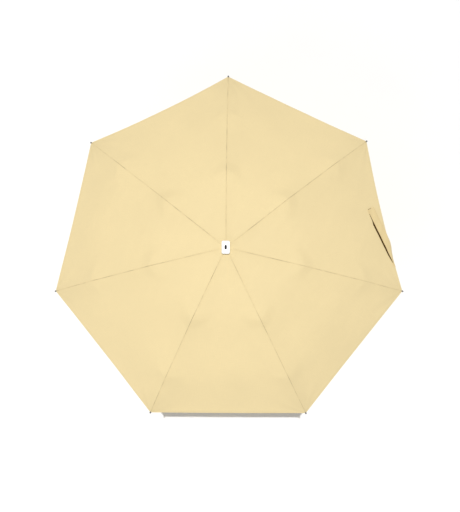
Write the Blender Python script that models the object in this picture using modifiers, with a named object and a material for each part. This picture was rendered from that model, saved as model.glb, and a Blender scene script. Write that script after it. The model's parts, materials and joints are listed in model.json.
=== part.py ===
"""Folding umbrella, open and upright: seven three-section ribs, a three-section shaft and a fabric canopy.

Metres, +Z up along the shaft, origin at the centre of the handle's bottom face. Each rib is a flat
linkage in a plane through the shaft. In that plane, u runs outwards from the shaft and z upwards.
"""

import math

import bmesh
import bpy
from mathutils import Matrix, Vector

# Ribs: a count, then lengths between pivots and slopes of the open umbrella.
RIB_COUNT = 7
FIRST_RIB_ANGLE = math.radians(90)
TOP_RIB_LENGTH = 0.185
MIDDLE_RIB_LENGTH = 0.172
OUTER_RIB_LENGTH = 0.124
TOP_RIB_SLOPE = math.radians(-8)
MIDDLE_RIB_SLOPE = math.radians(-20)
OUTER_RIB_SLOPE = math.radians(-32)
STRETCHER_SLOPE = math.radians(30)
STRETCHER_PIVOT = 0.084
CLOSED_ANGLE = math.radians(88)
CLOSED_TIP_LEAN = math.radians(0.5)

# Pivots: where each linkage joint stands off the rib's centre line, and the links' cranks.
KNEE_RISE = 0.002
ELBOW_DROP = 0.001
STRETCHER_CRANK = 0.010
KNEE_CRANK_ANGLE = math.radians(200)
CONTROL_CRANK = 0.008
CONTROL_CRANK_ANGLE = math.radians(192)
CONTROL_CRANK_RANGE = math.radians(8)

# Lanes: the rib members lie side by side, so that they fold past each other. Low and high face.
RIB_LANE = (-0.0012, 0.0012)
MIDDLE_LANE = (0.0015, 0.0031)
STRETCHER_LANE = (0.0015, 0.0029)
LINK_LANE = (0.0037, 0.0046)
CONTROL_LANE = (-0.0024, -0.0015)

# Member sections.
TOP_RIB_HALF_HEIGHT = 0.0014
MIDDLE_RIB_HALF_HEIGHT = 0.0013
STRETCHER_HALF_HEIGHT = 0.0012
WIRE_HALF_HEIGHT = 0.0005
OUTER_ROD_RADIUS = 0.00095
OUTER_BRACKET_LENGTH = 0.014
TIP_RADIUS = 0.002
EYE_RADIUS = 0.0013
WIRE_EYE_RADIUS = 0.0012
PIVOT_HOLE_RADIUS = 0.00075
RIVET_RADIUS = 0.0005
RIVET_HEAD_RADIUS = 0.001
RIVET_HEAD_THICKNESS = 0.00035
RIVET_HEAD_GAP = 0.0001
CHANNEL_WEB = 0.0008
CHANNEL_WALL = 0.0005
CHANNEL_MARGIN = 0.010

# Crown and runner: the notched discs that the ribs and stretchers hinge on, each with a ring wire.
CROWN_RING_RADIUS = 0.012
CROWN_RADIUS = 0.0136
CROWN_HALF_HEIGHT = 0.003
CROWN_HUB_RADIUS = 0.008
CROWN_HUB_DEPTH = 0.009
CROWN_EYE_RADIUS = 0.0016
RUNNER_RING_RADIUS = 0.0085
RUNNER_RADIUS = 0.010
RUNNER_HALF_HEIGHT = 0.0022
RUNNER_SLEEVE_RADIUS = 0.0076
RUNNER_SLEEVE_DEPTH = 0.017
RUNNER_EYE_RADIUS = 0.0016
RUNNER_EYE_HOLE_RADIUS = 0.0009
RING_WIRE_RADIUS = 0.00042
RING_GROOVE_HALF_HEIGHT = 0.00075
RING_GROOVE_DEPTH = 0.0008
BUTTON_RADIUS = 0.0022
BUTTON_INNER = 0.0079
BUTTON_OUTER = 0.0102
BUTTON_DROP = 0.010
BUTTON_POCKET_FLOOR = 0.0064
BUTTON_BOSS = (0.0072, 0.0090, 0.0080)

# Shaft: outer radii, wall and travel. Each tube slides over the thinner one below it.
TOP_TUBE_RADIUS = 0.0050
MIDDLE_TUBE_RADIUS = 0.0042
LOWER_TUBE_RADIUS = 0.0034
TUBE_WALL = 0.0005
TUBE_STROKE = 0.135
TUBE_OVERLAP = 0.022
COLLAR_HEIGHT = 0.006
COLLAR_THICKNESS = 0.0009
STOP_GAP = 0.0005

# Handle.
HANDLE_SIZE = (0.024, 0.036, 0.052)
HANDLE_CORNER = 0.007
HANDLE_RIM = 0.002
HANDLE_FOOT = 0.0002
HANDLE_SOCKET_DEPTH = 0.046
HANDLE_COLLAR_RADIUS = 0.0066
HANDLE_COLLAR_HEIGHT = 0.0027
BASE_PLATE_SIZE = (0.0154, 0.0274, 0.0013)
BASE_PLATE_CORNER = 0.004

# Cap on top of the crown, with its inlay.
CAP_SIZE = (0.020, 0.032, 0.0105)
CAP_BOTTOM = 0.005
CAP_CORNER = 0.0035
CAP_RIM = 0.0012
CAP_PLUG_RADIUS = 0.0041
CAP_PLUG_DEPTH = 0.009
INLAY_SIZE = (0.0055, 0.0115, 0.00065)
INLAY_PROUD = 0.00015

# Canopy and what is sewn to it. Heights are above the ribs' centre line.
CANOPY_RISE = 0.0046
CANOPY_THICKNESS = 0.0004
CANOPY_HOLE_RADIUS = 0.0065
CANOPY_SHOULDER = 0.014
CANOPY_SAG = 0.020
HEM_CURVE = 0.010
CANOPY_SAG_END = 1.15
CANOPY_BENDS = (0.06, 0.12, 0.25, 0.305, 0.41)
GORE_STEPS = 4
WASHER_RADIUS = 0.0105
WASHER_THICKNESS = 0.0004
STRAP_WIDTH = 0.021
STRAP_THICKNESS = 0.0012
STRAP_RISE = 0.0026
STRAP_STEPS = 8
STRAP_GORE = 5
STRAP_START = (0.926, 0.537)
STRAP_END = (0.986, 0.180)

GAP = 0.0003
ROUND_STEPS = 32
EYE_STEPS = 6
HOLE_STEPS = 12
RING_SECTION_STEPS = 8
CORNER_STEPS = 5
RIM_STEPS = 3
SOLVE_STEPS = 60
SMOOTH_ANGLE = math.radians(35)
SLOT_OVERSHOOT = 1.2
WELD_DISTANCE = 1e-6
MERGE_DISTANCE = 1e-5


def clear_scene():
    for obj in list(bpy.data.objects):
        bpy.data.objects.remove(obj, do_unlink=True)


def new_collection(name):
    collection = bpy.data.collections.new(name)
    bpy.context.scene.collection.children.link(collection)
    return collection


def make_material(name, colour, roughness, metallic):
    material = bpy.data.materials.new(name)
    material.use_nodes = True
    shader = material.node_tree.nodes["Principled BSDF"]
    shader.inputs["Base Color"].default_value = (*colour, 1.0)
    shader.inputs["Roughness"].default_value = roughness
    shader.inputs["Metallic"].default_value = metallic
    return material


# Plane geometry of one rib.


def reach(start, angle, along, across=0.0):
    """The point that lies along and across a member which starts at a pivot and points at an angle."""
    cos, sin = math.cos(angle), math.sin(angle)
    return Vector((start[0] + along * cos - across * sin, start[1] + along * sin + across * cos))


def polar(radius, angle):
    return radius * math.cos(angle), radius * math.sin(angle)


def solve(difference, low, high):
    """The argument between low and high where the difference changes sign."""
    low_is_positive = difference(low) > 0
    for _ in range(SOLVE_STEPS):
        middle = (low + high) / 2
        if (difference(middle) > 0) == low_is_positive:
            low = middle
        else:
            high = middle
    return (low + high) / 2


class RibPose:
    """Every pivot of one rib, in its plane, with the crown hinge at the ring wire and z counted from it."""

    def __init__(self, top, middle, outer, stretcher_length):
        self.top, self.middle, self.outer = top, middle, outer
        self.crown = Vector((CROWN_RING_RADIUS, 0.0))
        self.cross = reach(self.crown, top, STRETCHER_PIVOT)
        self.knee = reach(self.crown, top, TOP_RIB_LENGTH, KNEE_RISE)
        self.elbow = reach(self.knee, middle, MIDDLE_RIB_LENGTH, -KNEE_RISE - ELBOW_DROP)
        self.tip = reach(self.elbow, outer, OUTER_RIB_LENGTH, ELBOW_DROP)
        run = self.cross[0] - STRETCHER_HINGE_U
        self.stretcher = math.acos(run / stretcher_length)
        self.runner = Vector((STRETCHER_HINGE_U, self.cross[1] - stretcher_length * math.sin(self.stretcher)))
        self.link_start = reach(self.runner, self.stretcher, stretcher_length - STRETCHER_CRANK)
        self.control_start = reach(self.crown, top, TOP_RIB_LENGTH - CONTROL_CRANK, KNEE_RISE)

    def link_end(self, crank):
        return reach(self.knee, self.middle, *polar(crank, KNEE_CRANK_ANGLE))

    def control_end(self, crank_angle):
        return reach(self.elbow, self.outer, *polar(CONTROL_CRANK, crank_angle))


STRETCHER_CENTRE = sum(STRETCHER_LANE) / 2
STRETCHER_HINGE_U = math.sqrt(RUNNER_RING_RADIUS**2 - STRETCHER_CENTRE**2)
OPEN_CROSS_U = CROWN_RING_RADIUS + STRETCHER_PIVOT * math.cos(TOP_RIB_SLOPE)
STRETCHER_LENGTH = (OPEN_CROSS_U - STRETCHER_HINGE_U) / math.cos(STRETCHER_SLOPE)

OPEN = RibPose(TOP_RIB_SLOPE, MIDDLE_RIB_SLOPE, OUTER_RIB_SLOPE, STRETCHER_LENGTH)
CLOSED = RibPose(-CLOSED_ANGLE, CLOSED_ANGLE, CLOSED_ANGLE + CLOSED_TIP_LEAN - math.pi, STRETCHER_LENGTH)

# The link and control wires are as long in the closed umbrella as in the open one.
KNEE_CRANK = solve(
    lambda crank: (OPEN.link_end(crank) - OPEN.link_start).length
    - (CLOSED.link_end(crank) - CLOSED.link_start).length,
    0.5 * STRETCHER_CRANK,
    1.5 * STRETCHER_CRANK,
)
CONTROL_END_ANGLE = solve(
    lambda angle: (OPEN.control_end(angle) - OPEN.control_start).length
    - (CLOSED.control_end(angle) - CLOSED.control_start).length,
    CONTROL_CRANK_ANGLE - CONTROL_CRANK_RANGE,
    CONTROL_CRANK_ANGLE + CONTROL_CRANK_RANGE,
)

# Heights along the shaft, from the handle up, for the extended shaft.
HANDLE_COLLAR_TOP = HANDLE_SIZE[2] + GAP + HANDLE_COLLAR_HEIGHT
MIDDLE_TUBE_BOTTOM = HANDLE_COLLAR_TOP + STOP_GAP + TUBE_STROKE
TOP_TUBE_BOTTOM = MIDDLE_TUBE_BOTTOM + COLLAR_HEIGHT + STOP_GAP + TUBE_STROKE
CLOSED_RUNNER_HEIGHT = TOP_TUBE_BOTTOM + COLLAR_HEIGHT + STOP_GAP + RUNNER_SLEEVE_DEPTH
CROWN_HEIGHT = CLOSED_RUNNER_HEIGHT - CLOSED.runner[1]
RUNNER_HEIGHT = CROWN_HEIGHT + OPEN.runner[1]
CROWN_PLACE = (0, 0, CROWN_HEIGHT)


# Building blocks. Helpers are working objects, which are gone when the model is finished.


def link_object(name, mesh, collection):
    obj = bpy.data.objects.new(name, mesh)
    collection.objects.link(obj)
    return obj


def helper_object(name, mesh):
    obj = link_object(name, mesh, HELPERS)
    obj.hide_render = True
    obj.display_type = "WIRE"
    return obj


def evaluated_mesh(obj):
    """The object's mesh after its modifiers, with doubled vertices welded."""
    bpy.context.view_layer.update()
    graph = bpy.context.evaluated_depsgraph_get()
    mesh = bpy.data.meshes.new_from_object(obj.evaluated_get(graph))
    form = bmesh.new()
    form.from_mesh(mesh)
    bmesh.ops.remove_doubles(form, verts=form.verts, dist=WELD_DISTANCE)
    form.to_mesh(mesh)
    form.free()
    return mesh


def fused(base, added=(), cut=()):
    """One mesh of the base joined with the added helpers and less the cut ones."""
    for operation, others in (("UNION", added), ("DIFFERENCE", cut)):
        for other in others:
            boolean = base.modifiers.new(other.name, "BOOLEAN")
            boolean.operation = operation
            boolean.solver = "EXACT"
            boolean.object = other
    mesh = evaluated_mesh(base)
    for obj in (base, *added, *cut):
        bpy.data.objects.remove(obj, do_unlink=True)
    return mesh


def arc(centre, radius, start, end, steps=EYE_STEPS):
    """Points along an arc, from one angle to another in degrees."""
    angles = [math.radians(start + (end - start) * i / steps) for i in range(steps + 1)]
    return [(centre[0] + radius * math.cos(a), centre[1] + radius * math.sin(a)) for a in angles]


def hole(centre, radius):
    return arc(centre, radius, 0, 360, HOLE_STEPS)[:-1]


def plate(name, outlines, lane):
    """A flat plate across a lane, whose outlines are in the rib plane; the inner ones are holes."""
    curve = bpy.data.curves.new(name, "CURVE")
    curve.dimensions = "2D"
    curve.fill_mode = "BOTH"
    curve.extrude = (lane[1] - lane[0]) / 2
    for outline in outlines:
        spline = curve.splines.new("POLY")
        spline.points.add(len(outline) - 1)
        for point, (x, z) in zip(spline.points, outline):
            point.co = (x, z, 0, 1)
        spline.use_cyclic_u = True
    drawn = helper_object(name, curve)
    mesh = evaluated_mesh(drawn)
    bpy.data.objects.remove(drawn, do_unlink=True)
    upright = Matrix.Rotation(math.pi / 2, 4, "X")
    mesh.transform(Matrix.Translation((0, sum(lane) / 2, 0)) @ upright)
    return helper_object(name, mesh)


def turned(name, profile, closed=True, steps=ROUND_STEPS):
    """A body turned about Z from a profile of (radius, height), listed down its outer side."""
    mesh = bpy.data.meshes.new(name)
    count = len(profile)
    edges = [(i, i + 1) for i in range(count - 1)]
    if closed:
        edges.append((count - 1, 0))
    mesh.from_pydata([(r, 0, z) for r, z in profile], edges, [])
    obj = helper_object(name, mesh)
    screw = obj.modifiers.new("turn", "SCREW")
    screw.axis = "Z"
    screw.angle = 2 * math.pi
    screw.steps = steps
    screw.render_steps = steps
    screw.use_merge_vertices = True
    screw.merge_threshold = MERGE_DISTANCE
    return obj


def ring_profile(inner, outer, bottom, top):
    return [(inner, top), (outer, top), (outer, bottom), (inner, bottom)]


def rod(name, start, end, radius, sides=HOLE_STEPS):
    """A solid round bar between two points."""
    start, end = Vector(start), Vector(end)
    form = bmesh.new()
    bmesh.ops.create_cone(
        form, cap_ends=True, segments=sides, radius1=radius, radius2=radius, depth=(end - start).length
    )
    mesh = bpy.data.meshes.new(name)
    form.to_mesh(mesh)
    form.free()
    turn = (end - start).to_track_quat("Z", "Y").to_matrix().to_4x4()
    mesh.transform(Matrix.Translation((start + end) / 2) @ turn)
    return helper_object(name, mesh)


def rivet(name, at, root, lane):
    """A headed pin from a root depth through a neighbour's lane. The lane's far face is its last value."""
    side = 1 if lane[1] > 0 else -1
    far = max(abs(lane[0]), abs(lane[1]))
    head = far + RIVET_HEAD_GAP
    top = head + RIVET_HEAD_THICKNESS
    profile = [
        (0, top),
        (RIVET_HEAD_RADIUS, top),
        (RIVET_HEAD_RADIUS, head),
        (RIVET_RADIUS, head),
        (RIVET_RADIUS, root),
        (0, root),
    ]
    drawn = turned(name, profile, closed=False, steps=HOLE_STEPS)
    mesh = evaluated_mesh(drawn)
    bpy.data.objects.remove(drawn, do_unlink=True)
    sideways = Matrix.Rotation(-side * math.pi / 2, 4, "X")
    mesh.transform(Matrix.Translation((at[0], 0, at[1])) @ sideways)
    return helper_object(name, mesh)


def box(name, low, high):
    """A rectangular helper between two corners."""
    low, high = Vector(low), Vector(high)
    form = bmesh.new()
    bmesh.ops.create_cube(form, size=1.0)
    mesh = bpy.data.meshes.new(name)
    form.to_mesh(mesh)
    form.free()
    mesh.transform(Matrix.Translation((low + high) / 2) @ Matrix.Diagonal((*(high - low), 1)))
    return helper_object(name, mesh)


def rounded_block(name, size, bottom, corner, rim):
    """An upright block with rounded corners, and with its top and bottom rims rounded too."""
    form = bmesh.new()
    bmesh.ops.create_cube(form, size=1.0)
    bmesh.ops.scale(form, vec=size, verts=form.verts)
    upright = [e for e in form.edges if abs(e.verts[0].co.z - e.verts[1].co.z) > size[2] / 2]
    bmesh.ops.bevel(form, geom=upright, offset=corner, segments=CORNER_STEPS, profile=0.5, affect="EDGES")
    if rim:
        rims = [e for e in form.edges if abs(e.verts[0].co.z - e.verts[1].co.z) < WELD_DISTANCE]
        bmesh.ops.bevel(form, geom=rims, offset=rim, segments=RIM_STEPS, profile=0.5, affect="EDGES")
    bmesh.ops.translate(form, vec=(0, 0, bottom + size[2] / 2), verts=form.verts)
    mesh = bpy.data.meshes.new(name)
    form.to_mesh(mesh)
    form.free()
    return helper_object(name, mesh)


def spoke_boxes(name, u_range, lane, half_height):
    """One cutter of seven boxes, one on each rib's plane."""
    form = bmesh.new()
    for index in range(RIB_COUNT):
        made = bmesh.ops.create_cube(form, size=1.0)["verts"]
        size = (u_range[1] - u_range[0], lane[1] - lane[0], 2 * half_height)
        place = Matrix.Translation((sum(u_range) / 2, sum(lane) / 2, 0))
        turn = Matrix.Rotation(rib_angle(index), 4, "Z")
        bmesh.ops.transform(form, matrix=turn @ place @ Matrix.Diagonal((*size, 1)), verts=made)
    mesh = bpy.data.meshes.new(name)
    form.to_mesh(mesh)
    form.free()
    return helper_object(name, mesh)


def rib_angle(index):
    return FIRST_RIB_ANGLE + 2 * math.pi * index / RIB_COUNT


def add_part(name, mesh, material, location=(0, 0, 0), parent=None, slope=0.0):
    """A finished sub-part. The slope turns a rib member upwards in its plane."""
    if material.name not in mesh.materials:
        mesh.materials.append(material)
    obj = link_object(name, mesh, PARTS)
    obj.parent = parent
    obj.location = location
    obj.rotation_euler = (0, -slope, 0)
    return obj


def smooth(mesh):
    mesh.shade_smooth()
    mesh.set_sharp_from_angle(angle=SMOOTH_ANGLE)
    return mesh


# Rib members. Each mesh has its pivot at the origin, x along the member and y across the lanes.


def top_rib_mesh():
    """A channel from the crown hinge to the knee, with the knee's pin and the control wire's pin."""
    half = TOP_RIB_HALF_HEIGHT
    knee = (TOP_RIB_LENGTH, KNEE_RISE)
    control = (TOP_RIB_LENGTH - CONTROL_CRANK, KNEE_RISE)
    outline = (
        arc((0, 0), CROWN_EYE_RADIUS, 90, 270)
        + [(CHANNEL_MARGIN / 2, -half), (TOP_RIB_LENGTH - EYE_RADIUS, -half)]
        + arc(knee, EYE_RADIUS, -45, 90)
        + arc(control, EYE_RADIUS, 90, 150, 2)
        + [(control[0] - 2 * EYE_RADIUS, half), (CHANNEL_MARGIN / 2, half)]
    )
    base = plate("top_rib", [outline, hole((0, 0), PIVOT_HOLE_RADIUS)], RIB_LANE)
    knee_pin = rivet("knee_pin", knee, 0.0, MIDDLE_LANE)
    control_pin = rivet("control_pin", control, 0.0, CONTROL_LANE)
    inner = RIB_LANE[1] - CHANNEL_WALL
    groove = box(
        "groove",
        (CHANNEL_MARGIN, -inner, -2 * half),
        (TOP_RIB_LENGTH - 2 * CHANNEL_MARGIN, inner, half - CHANNEL_WEB),
    )
    return fused(base, [knee_pin, control_pin], [groove])


def middle_rib_mesh():
    """A narrower channel from the knee to the elbow, with a tail behind the knee for the link wire."""
    half = MIDDLE_RIB_HALF_HEIGHT
    axis = -KNEE_RISE
    tail = polar(KNEE_CRANK, KNEE_CRANK_ANGLE)
    elbow = (MIDDLE_RIB_LENGTH, axis - ELBOW_DROP)
    outline = (
        arc((0, 0), EYE_RADIUS, 60, 120, 2)
        + arc(tail, EYE_RADIUS, 100, 280)
        + [(0, axis - half), (MIDDLE_RIB_LENGTH - 3 * EYE_RADIUS, axis - half)]
        + arc(elbow, EYE_RADIUS, -90, 70)
        + [(MIDDLE_RIB_LENGTH - 3 * EYE_RADIUS, axis + half), (3 * EYE_RADIUS, axis + half)]
    )
    holes = [hole((0, 0), PIVOT_HOLE_RADIUS), hole(elbow, PIVOT_HOLE_RADIUS)]
    base = plate("middle_rib", [outline, *holes], MIDDLE_LANE)
    groove = box(
        "groove",
        (CHANNEL_MARGIN, MIDDLE_LANE[0] + CHANNEL_WALL, axis - 2 * half),
        (MIDDLE_RIB_LENGTH - CHANNEL_MARGIN, MIDDLE_LANE[1] - CHANNEL_WALL, axis + half - CHANNEL_WEB),
    )
    return fused(base, cut=[groove])


def outer_rib_mesh():
    """A bracket at the elbow, with a tail for the control wire, that holds a round rod with a ball tip."""
    axis = ELBOW_DROP
    half = MIDDLE_RIB_HALF_HEIGHT
    tail = polar(CONTROL_CRANK, CONTROL_END_ANGLE)
    outline = (
        arc((0, 0), EYE_RADIUS, 60, 120, 2)
        + arc(tail, WIRE_EYE_RADIUS, 100, 280)
        + arc((0, 0), EYE_RADIUS, -110, -80, 1)
        + [(OUTER_BRACKET_LENGTH, axis - half), (OUTER_BRACKET_LENGTH, axis + half)]
        + [(2 * EYE_RADIUS, axis + half)]
    )
    base = plate("outer_rib", [outline], RIB_LANE)
    elbow_pin = rivet("elbow_pin", (0, 0), 0.0, MIDDLE_LANE)
    start = (OUTER_BRACKET_LENGTH - TIP_RADIUS, 0, axis)
    wire = rod("wire", start, (OUTER_RIB_LENGTH, 0, axis), OUTER_ROD_RADIUS)
    form = bmesh.new()
    bmesh.ops.create_uvsphere(form, u_segments=HOLE_STEPS, v_segments=HOLE_STEPS // 2, radius=TIP_RADIUS)
    ball = bpy.data.meshes.new("ball")
    form.to_mesh(ball)
    form.free()
    ball.transform(Matrix.Translation((OUTER_RIB_LENGTH, 0, axis)))
    return fused(base, [elbow_pin, wire, helper_object("ball", ball)])


def stretcher_mesh():
    """A flat bar from the runner to where it meets the top rib, with the link wire's pin."""
    half = STRETCHER_HALF_HEIGHT
    outline = (
        arc((0, 0), RUNNER_EYE_RADIUS, 45, 315, 6)
        + [(3 * half, -half)]
        + arc((STRETCHER_LENGTH, 0), EYE_RADIUS, -90, 90)
        + [(3 * half, half)]
    )
    base = plate("stretcher", [outline, hole((0, 0), RUNNER_EYE_HOLE_RADIUS)], STRETCHER_LANE)
    link = (STRETCHER_LENGTH - STRETCHER_CRANK, 0)
    return fused(base, [rivet("link_pin", link, STRETCHER_CENTRE, LINK_LANE)])


def wire_mesh(name, length, lane):
    """A thin link with an open eye at its pivot and a closed one at its far end."""
    neck = math.degrees(math.asin(WIRE_HALF_HEIGHT / WIRE_EYE_RADIUS))
    outline = arc((0, 0), WIRE_EYE_RADIUS, neck, 360 - neck, 6)
    outline += arc((length, 0), WIRE_EYE_RADIUS, neck - 180, 180 - neck, 6)
    return fused(plate(name, [outline, hole((0, 0), PIVOT_HOLE_RADIUS)], lane))


def add_ribs(steel, dark_steel, rod_finish):
    link = OPEN.link_end(KNEE_CRANK) - OPEN.link_start
    control = OPEN.control_end(CONTROL_END_ANGLE) - OPEN.control_start
    members = [
        ("top_rib", smooth(top_rib_mesh()), steel, OPEN.crown, OPEN.top),
        ("stretcher", smooth(stretcher_mesh()), steel, OPEN.runner, OPEN.stretcher),
        ("middle_rib", smooth(middle_rib_mesh()), steel, OPEN.knee, OPEN.middle),
        ("outer_rib", smooth(outer_rib_mesh()), rod_finish, OPEN.elbow, OPEN.outer),
        (
            "link_wire",
            wire_mesh("link_wire", link.length, LINK_LANE),
            dark_steel,
            OPEN.link_start,
            math.atan2(link[1], link[0]),
        ),
        (
            "control_wire",
            wire_mesh("control_wire", control.length, CONTROL_LANE),
            dark_steel,
            OPEN.control_start,
            math.atan2(control[1], control[0]),
        ),
    ]
    for index in range(RIB_COUNT):
        station = bpy.data.objects.new(f"rib_station_{index + 1}", None)
        station.location = CROWN_PLACE
        station.rotation_euler = (0, 0, rib_angle(index))
        PARTS.objects.link(station)
        for name, mesh, material, pivot, slope in members:
            place = (pivot[0], 0, pivot[1])
            add_part(f"{name}_{index + 1}", mesh, material, place, station, slope)


# Crown, cap and what lies between them.


def add_crown(black_plastic, wire_steel):
    edge = CROWN_HALF_HEIGHT / 5
    floor = CROWN_RING_RADIUS - RING_GROOVE_DEPTH
    bore = TOP_TUBE_RADIUS + GAP
    profile = [
        (bore, CROWN_HALF_HEIGHT),
        (CROWN_RADIUS - edge, CROWN_HALF_HEIGHT),
        (CROWN_RADIUS, CROWN_HALF_HEIGHT - edge),
        (CROWN_RADIUS, RING_GROOVE_HALF_HEIGHT),
        (floor, RING_GROOVE_HALF_HEIGHT),
        (floor, -RING_GROOVE_HALF_HEIGHT),
        (CROWN_RADIUS, -RING_GROOVE_HALF_HEIGHT),
        (CROWN_RADIUS, edge - CROWN_HALF_HEIGHT),
        (CROWN_RADIUS - edge, -CROWN_HALF_HEIGHT),
        (CROWN_HUB_RADIUS, -CROWN_HALF_HEIGHT),
        (CROWN_HUB_RADIUS, -CROWN_HUB_DEPTH),
        (bore, -CROWN_HUB_DEPTH),
    ]
    slot_floor = CROWN_RING_RADIUS - CROWN_EYE_RADIUS - GAP
    lane = (RIB_LANE[0] - GAP, RIB_LANE[1] + GAP)
    slots = spoke_boxes("slots", (slot_floor, SLOT_OVERSHOOT * CROWN_RADIUS), lane, 2 * CROWN_HALF_HEIGHT)
    mesh = fused(turned("crown", profile, steps=4 * RIB_COUNT), cut=[slots])
    add_part("crown", smooth(mesh), black_plastic, CROWN_PLACE)
    ring = ring_wire("crown_ring", CROWN_RING_RADIUS)
    add_part("crown_ring", ring, wire_steel, CROWN_PLACE)


def ring_wire(name, radius):
    """The closed wire that the ribs' eyes are threaded on."""
    bpy.ops.mesh.primitive_torus_add(
        major_radius=radius,
        minor_radius=RING_WIRE_RADIUS,
        major_segments=4 * RIB_COUNT,
        minor_segments=RING_SECTION_STEPS,
    )
    made = bpy.context.object
    mesh = made.data
    mesh.name = name
    bpy.data.objects.remove(made, do_unlink=True)
    return mesh


def stadium(name, size, bottom, top, grow=0.0):
    """An upright plate with two straight sides and round ends, long along Y."""
    radius = size[0] / 2 + grow
    centre = (size[1] - size[0]) / 2
    outline = arc((0, centre), radius, 0, 180, 6) + arc((0, -centre), radius, 180, 360, 6)
    drawn = plate(name, [outline], (bottom, top))
    drawn.data.transform(Matrix.Rotation(math.pi / 2, 4, "X"))
    return drawn


def add_cap(white_plastic, dark_inlay, fabric_trim):
    top = CAP_BOTTOM + CAP_SIZE[2]
    cap = rounded_block("top_cap", CAP_SIZE, CAP_BOTTOM, CAP_CORNER, CAP_RIM)
    plug_bottom = CAP_BOTTOM - CAP_PLUG_DEPTH
    plug = rod("plug", (0, 0, plug_bottom), (0, 0, CAP_BOTTOM + CAP_RIM), CAP_PLUG_RADIUS, ROUND_STEPS)
    inlay_top = top + INLAY_PROUD
    inlay_bottom = inlay_top - INLAY_SIZE[2]
    recess = stadium("recess", INLAY_SIZE, inlay_bottom - GAP, top + CAP_RIM, grow=GAP)
    add_part("top_cap", smooth(fused(cap, [plug], [recess])), white_plastic, CROWN_PLACE)
    inlay = fused(stadium("cap_inlay", INLAY_SIZE, inlay_bottom, inlay_top))
    add_part("cap_inlay", inlay, dark_inlay, CROWN_PLACE)
    washer_bottom = CROWN_HALF_HEIGHT + GAP
    washer_top = washer_bottom + WASHER_THICKNESS
    washer = turned(
        "canopy_washer",
        ring_profile(TOP_TUBE_RADIUS + GAP, WASHER_RADIUS, washer_bottom, washer_top),
    )
    add_part("canopy_washer", fused(washer), fabric_trim, CROWN_PLACE)


# Runner, with its latch button.


def add_runner(black_plastic, grey_plastic, wire_steel):
    edge = RUNNER_HALF_HEIGHT / 5
    floor = RUNNER_RING_RADIUS - RING_GROOVE_DEPTH
    bore = TOP_TUBE_RADIUS + GAP
    profile = [
        (bore, RUNNER_HALF_HEIGHT),
        (RUNNER_RADIUS - edge, RUNNER_HALF_HEIGHT),
        (RUNNER_RADIUS, RUNNER_HALF_HEIGHT - edge),
        (RUNNER_RADIUS, RING_GROOVE_HALF_HEIGHT),
        (floor, RING_GROOVE_HALF_HEIGHT),
        (floor, -RING_GROOVE_HALF_HEIGHT),
        (RUNNER_RADIUS, -RING_GROOVE_HALF_HEIGHT),
        (RUNNER_RADIUS, edge - RUNNER_HALF_HEIGHT),
        (RUNNER_RADIUS - edge, -RUNNER_HALF_HEIGHT),
        (RUNNER_SLEEVE_RADIUS, -RUNNER_HALF_HEIGHT - edge),
        (RUNNER_SLEEVE_RADIUS, edge - RUNNER_SLEEVE_DEPTH),
        (RUNNER_SLEEVE_RADIUS - edge, -RUNNER_SLEEVE_DEPTH),
        (bore, -RUNNER_SLEEVE_DEPTH),
    ]
    slot_floor = STRETCHER_HINGE_U - RUNNER_EYE_RADIUS - GAP
    lane = (STRETCHER_LANE[0] - GAP, STRETCHER_LANE[1] + GAP)
    slots = spoke_boxes("slots", (slot_floor, SLOT_OVERSHOOT * RUNNER_RADIUS), lane, 1.1 * RUNNER_HALF_HEIGHT)
    width, reach_out, height = BUTTON_BOSS
    boss = box(
        "boss",
        (-width / 2, -reach_out, -BUTTON_DROP - height / 2),
        (width / 2, -bore - GAP, -BUTTON_DROP + height / 2),
    )
    pocket = rod(
        "pocket",
        (0, -BUTTON_POCKET_FLOOR, -BUTTON_DROP),
        (0, -2 * RUNNER_RADIUS, -BUTTON_DROP),
        BUTTON_RADIUS + GAP,
        ROUND_STEPS // 2,
    )
    mesh = fused(turned("runner", profile, steps=4 * RIB_COUNT), [boss], [slots, pocket])
    place = (0, 0, RUNNER_HEIGHT)
    add_part("runner", smooth(mesh), black_plastic, place)
    add_part("runner_ring", ring_wire("runner_ring", RUNNER_RING_RADIUS), wire_steel, place)
    button = rod("button", (0, -BUTTON_INNER, 0), (0, -BUTTON_OUTER, 0), BUTTON_RADIUS, ROUND_STEPS // 2)
    button_place = (0, 0, RUNNER_HEIGHT - BUTTON_DROP)
    add_part("runner_button", smooth(fused(button)), grey_plastic, button_place)


# Shaft and handle.


def add_tube(name, radius, bottom, top, material):
    profile = ring_profile(radius - TUBE_WALL, radius, 0, top - bottom)
    add_part(name, smooth(fused(turned(name, profile))), material, (0, 0, bottom))


def add_collar(name, tube_radius, bottom, height, thickness, material):
    inner = tube_radius + GAP
    edge = thickness / 3
    profile = [
        (inner, height),
        (inner + thickness - edge, height),
        (inner + thickness, height - edge),
        (inner + thickness, edge),
        (inner + thickness - edge, 0),
        (inner, 0),
    ]
    add_part(name, smooth(fused(turned(name, profile))), material, (0, 0, bottom))


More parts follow.
